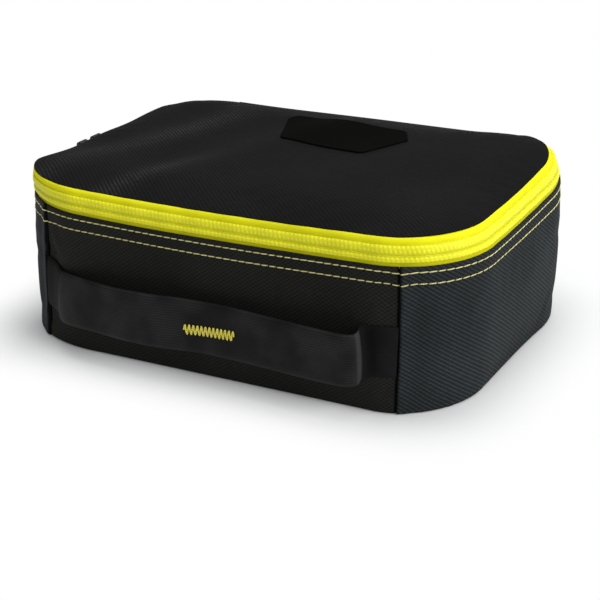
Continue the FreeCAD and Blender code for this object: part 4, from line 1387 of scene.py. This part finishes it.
class BAG_OT_handle(bpy.types.Operator):
    """Webbing handle across the front, sewn into both corner seams, with its tack"""
    bl_idname = "bag.handle"
    bl_label = "Carry handle"

    def execute(self, context):
        path = outline()
        low, high = GRIP_LOW[2], GRIP_HIGH[2]
        left_end, before, right_end = (
            [*wall_point(path, at_high, high, off)[:2], *wall_point(path, at_low, low, off)[:2]]
            for at_high, at_low, off in ((-95.9, -98.4, 0.3), (90.5, 90.5, 0.9),
                                         (97.0, 96.6, 0.3)))
        # (x, y) of the strap's top line, then of its bottom line
        knots = [left_end, (-91.0, -80.6, -93.5, -81.9), (-86.6, -83.2, -87.2, -86.8),
                 (-84.2, -84.4, -83.0, -91.2), (-76.0, -88.0, -76.5, -94.2),
                 (-66.0, -91.5, -66.0, -95.5), (-57.0, -94.0, -56.5, -96.4),
                 (-42.4, -96.0, -40.0, -98.3), (-24.7, -95.3, -22.0, -98.2),
                 (-13.3, -93.4, -10.0, -96.6), (-3.0, -92.6, -2.0, -95.3),
                 (7.0, -92.3, 7.0, -95.0), (20.0, -92.9, 22.0, -95.6),
                 (36.0, -94.6, 38.0, -96.8), (52.0, -96.4, 53.0, -98.0),
                 (66.2, -97.8, 65.6, -98.7), (73.5, -98.4, 74.0, -98.8),
                 (78.2, -98.2, 78.4, -98.0), (81.2, -97.0, 81.0, -96.2),
                 (82.1, -94.6, 81.7, -93.6), (81.4, -91.6, 81.4, -90.8),
                 (80.3, -88.6, 81.2, -88.2), (80.7, -86.2, 82.2, -86.0),
                 (83.6, -84.8, 85.0, -84.5), before, right_end]
        line = smooth_line(knots, STRAP_ROWS)
        rise = np.interp(line[:, 0], [-97, -91, -85, -76, -60, -40, 0],
                         [2.2, 0.8, -1.9, -1.0, 0.3, 0.5, 0.0])
        tops = np.column_stack([line[:, :2], high + rise])
        feet = np.column_stack([line[:, 2:], np.full(STRAP_ROWS, low)])
        grid, v = strap_surface(tops, feet)
        s = run_lengths((tops + feet) / 2)
        x, y = line[:, 0], line[:, 1]
        # Painted shade on the tabs, strongest on the right fold's return leg and next to it, where
        # they lie in shadow against the wall.
        tab = np.where(x < 0, 1 - ease(x, -87.0, -83.5),
                       ease(x, 78.0, 80.0) * ease(y, -92.0, -89.0))
        tab = tab * np.where(x < 0, 0.75, 0.95 - 0.35 * ease(x, 84.0, 88.0))
        # Painted highlight on the right fold's outer bend, and a faint line at the left fold's
        # crease.
        painted_highlight = (np.where(x > 70, ease(y, -96.6, -95.2) * ease(-y, 91.4, 93.0), 0.0)
                  + 0.25 * np.exp(-((x + 84.5) / 0.8) ** 2))
        middle = int(np.argmin(np.abs(x - STRAP_JOIN)))
        for name, part, joins in (
                ("handle_strap_left", slice(0, middle + 1), ((-86.7, -85.5), (-70.0, -92.0))),
                ("handle_strap_right", slice(middle, STRAP_ROWS), ((82.0, -86.6), (81.6, -95.5)))):
            faces, uv = carried(grid[part], s[part], v)
            round_it = grid.shape[1]
            piece = add_piece(name, grid[part], faces, uv, webbing_cloth(),
                              flat_last=round_it - 2)
            mark(piece, "painted_shade", np.repeat(tab[part], round_it))
            mark(piece, "painted_highlight", np.repeat(painted_highlight[part], round_it))
            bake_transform(piece)
        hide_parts("handle_tab_left", "handle_loop_left", "handle_grip")
        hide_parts("handle_tab_right", "handle_loop_right")
        self.tack(line[middle - 80:middle + 80])
        return {"FINISHED"}

    def tack(self, face):
        """The tack is one thread laid in a zigzag: up and down as a triangle wave with
        rounded peaks, and carried as a tube over the face of the strap."""
        w = sewing()
        tack_low, tack_high = cad("handle_bartack")
        t = np.linspace(0, 1, 331)
        x = 6.6 + 0.96 * (tack_high[0] - tack_low[0]) * (t - 0.5)
        zigzags = 12.5
        wave = np.arcsin(0.97 * np.sin(2 * math.pi * zigzags * t)) / math.asin(0.97)
        z = 30.0 + 2.15 * wave + 1.1 * (t - 0.5)
        share = (z - GRIP_LOW[2]) / (GRIP_HIGH[2] - GRIP_LOW[2])
        y = (np.interp(x, face[:, 2], face[:, 3]) * (1 - share)
             + np.interp(x, face[:, 0], face[:, 1]) * share)
        y = y - 0.75 - 0.35 * (1 - (2 * share - 1) ** 2) - 0.22
        y = y - 0.12 * np.cos(4 * math.pi * zigzags * t)
        centre = np.stack([x, y, z], -1)
        d = np.gradient(centre, axis=0)
        d /= np.linalg.norm(d, axis=1)[:, None]
        out = np.array([0.0, -1.0, 0.0])
        side = np.cross(d, out)
        side /= np.linalg.norm(side, axis=1)[:, None]
        a = np.linspace(0, 2 * math.pi, 8, endpoint=False)
        r = 1000 * w.tack_thread / 2
        grid = (centre[:, None] + r * np.cos(a)[None, :, None] * side[:, None]
                + 0.8 * r * np.sin(a)[None, :, None] * out)
        faces, uv = carried(grid, run_lengths(centre), a * r)
        piece = add_piece("handle_tack", grid, faces, uv,
                          thread_material("tack_thread", colours().tack))
        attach(piece, "handle")
        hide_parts("handle_bartack")


class BAG_OT_sliders(bpy.types.Operator):
    """Metal on the zip's sliders and pulls: the CAD's own where it has one, else dark plated metal
    """
    bl_idname = "bag.sliders"
    bl_label = "Slider finish"

    def execute(self, context):
        metal = metal_material()
        for name in ("front_slider", "front_pull", "rear_slider", "rear_pull"):
            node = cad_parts[name]
            if not node.material_slots:
                node.data.materials.append(metal)
            for place in node.material_slots:
                place.material = metal
        return {"FINISHED"}


# The camera: degrees round from the front, up, and rolled; metres across, up and back; lens.
CAMERA_ANGLES = (30.369, 23.216, -2.76)
CAMERA_PLACE = (-0.000684, 0.00667, 0.739919)
CAMERA_LENS = 85.486
FLOOR_SHADE = (0.10, 0.058)  # half sizes of the floor's fully shaded middle, in metres


def stand(name, data, right, up, back, place):
    """Puts a lamp or camera at a place, turned to these three directions."""
    item = bpy.data.objects.new(name, data)
    item.matrix_world = Matrix([[right[k], up[k], back[k], place[k]] for k in range(3)]
                               + [[0, 0, 0, 1]])
    bpy.context.scene.collection.objects.link(item)
    return item


class BAG_OT_stage(bpy.types.Operator):
    """Pale floor, soft lamps and the camera"""
    bl_idname = "bag.stage"
    bl_label = "Stage"

    def execute(self, context):
        self.floor()
        self.lamps()
        self.camera()
        context.scene.view_settings.view_transform = "Standard"
        return {"FINISHED"}

    def floor(self):
        """A wide flat floor. It is lit as a pale surface near the bag, and away from it shows
        plain white to the camera and to gloss."""
        mesh = bpy.data.meshes.new("floor")
        size = 12.0
        mesh.from_pydata([(-size, -size, 0), (size, -size, 0), (size, size, 0),
                          (-size, size, 0)], [], [(0, 1, 2, 3)])
        floor = bpy.data.objects.new("floor", mesh)
        bpy.context.scene.collection.objects.link(floor)
        material, tree, shader = start_material("floor_paper")
        where = put(tree, "ShaderNodeTexCoord").outputs["Object"]
        grain = put(tree, "ShaderNodeTexNoise", None, {"Vector": where, "Scale": 900.0})
        tone = blend_colours(tree, calc(tree, "MULTIPLY", grain.outputs[0], 0.1),
                             rgba(colours().floor), rgba(colours().floor, 0.97))
        tree.links.new(tone, shader.inputs["Base Color"])
        shader.inputs["Roughness"].default_value = 0.9
        shader.inputs["Specular IOR Level"].default_value = 0.1
        place = put(tree, "ShaderNodeSeparateXYZ", None, (where,))
        gaps = [calc(tree, "MAXIMUM", calc(tree, "SUBTRACT", calc(tree, "ABSOLUTE", axis), half),
                     0.0) for axis, half in zip(place.outputs, FLOOR_SHADE)]
        gap = calc(tree, "SQRT", calc(tree, "ADD", *(calc(tree, "MULTIPLY", g, g) for g in gaps)))
        far = spread(tree, gap, 0.018, 0.070, 0.0, 1.0)
        rays = put(tree, "ShaderNodeLightPath")
        seen = calc(tree, "MAXIMUM", calc(tree, "MAXIMUM", rays.outputs["Is Camera Ray"],
                    rays.outputs["Is Glossy Ray"]), rays.outputs["Is Transmission Ray"])
        white = put(tree, "ShaderNodeEmission", None, {"Color": (1, 1, 1, 1), "Strength": 1.0})
        mix = put(tree, "ShaderNodeMixShader", None,
                  (calc(tree, "MULTIPLY", far, seen), shader.outputs[0], white.outputs[0]))
        leave = next(n for n in tree.nodes if n.type == "OUTPUT_MATERIAL")
        tree.links.new(mix.outputs[0], leave.inputs["Surface"])
        mesh.materials.append(material)

    def lamps(self):
        """A plain pale room, a broad soft lamp overhead and one to the right."""
        world = bpy.data.worlds.new("room")
        bpy.context.scene.world = world
        world.use_nodes = True
        tree = world.node_tree
        tree.nodes.clear()
        rays = put(tree, "ShaderNodeLightPath")
        seen = calc(tree, "MAXIMUM", rays.outputs["Is Camera Ray"],
                    rays.outputs["Is Transmission Ray"])
        soft = put(tree, "ShaderNodeBackground", None,
                   {"Color": (0.96, 0.98, 1.0, 1), "Strength": 0.40})
        white = put(tree, "ShaderNodeBackground", None, {"Color": (1, 1, 1, 1), "Strength": 1.0})
        mix = put(tree, "ShaderNodeMixShader", None, (seen, soft.outputs[0], white.outputs[0]))
        out = put(tree, "ShaderNodeOutputWorld")
        tree.links.new(mix.outputs[0], out.inputs["Surface"])
        lamps = [("lamp_over", (0.10, 0.30, 1.5), 1.4, 17.0),
                 ("lamp_right", (1.5, -0.15, 0.75), 1.2, 21.0),
                 ("lamp_front", (-0.4, -1.7, 0.9), 1.2, 1.5)]
        for name, place, size, power in lamps:
            data = bpy.data.lights.new(name, "AREA")
            data.shape = "SQUARE"
            data.size = size
            data.energy = power
            back = np.array(place) / np.linalg.norm(place)
            right = np.cross([0, 0, 1.0], back)
            right /= np.linalg.norm(right)
            stand(name, data, right, np.cross(back, right), back, place)

    def camera(self):
        """The camera looks down at the front right corner from about 30 degrees round."""
        turn, rise, roll = (math.radians(a) for a in CAMERA_ANGLES)
        back = np.array([math.sin(turn) * math.cos(rise), -math.cos(turn) * math.cos(rise),
                         math.sin(rise)])
        right = np.array([math.cos(turn), math.sin(turn), 0.0])
        up = np.cross(back, right)
        across = right * math.cos(roll) + up * math.sin(roll)
        over = -right * math.sin(roll) + up * math.cos(roll)
        place = (across * CAMERA_PLACE[0] + over * CAMERA_PLACE[1] + back * CAMERA_PLACE[2])
        data = bpy.data.cameras.new("camera")
        data.sensor_width = 36.0
        data.lens = CAMERA_LENS
        data.clip_start, data.clip_end = 0.05, 40.0
        bpy.context.scene.camera = stand("camera", data, across, over, back, place)


OPERATORS = (BAG_OT_stage, BAG_OT_walls, BAG_OT_lining, BAG_OT_zip, BAG_OT_lid, BAG_OT_hinge,
             BAG_OT_topstitch, BAG_OT_handle, BAG_OT_sliders)


class BAG_PT_panel(bpy.types.Panel):
    """Sizes, colours and the steps that build the bag"""
    bl_idname = "BAG_PT_panel"
    bl_label = "Battery bag"
    bl_space_type = "VIEW_3D"
    bl_region_type = "UI"
    bl_category = "Battery bag"

    def draw(self, context):
        for group in (context.scene.bag_shape, context.scene.bag_sewing,
                      context.scene.bag_colours):
            box = self.layout.box()
            for key in group.__annotations__:
                box.prop(group, key)
        for operator in OPERATORS:
            self.layout.operator(operator.bl_idname)


CLASSES = (BAG_PG_shape, BAG_PG_sewing, BAG_PG_colours, *OPERATORS, BAG_PT_panel)


def register():
    for item in CLASSES:
        bpy.utils.register_class(item)
    bpy.types.Scene.bag_shape = bpy.props.PointerProperty(type=BAG_PG_shape)
    bpy.types.Scene.bag_sewing = bpy.props.PointerProperty(type=BAG_PG_sewing)
    bpy.types.Scene.bag_colours = bpy.props.PointerProperty(type=BAG_PG_colours)


def unregister():
    del bpy.types.Scene.bag_shape, bpy.types.Scene.bag_sewing, bpy.types.Scene.bag_colours
    for item in reversed(CLASSES):
        bpy.utils.unregister_class(item)


def main():
    """Builds the stage and every piece in order."""
    register()
    for operator in OPERATORS:
        group, name = operator.bl_idname.split(".")
        getattr(getattr(bpy.ops, group), name)()


if __name__ == "__main__":
    main()
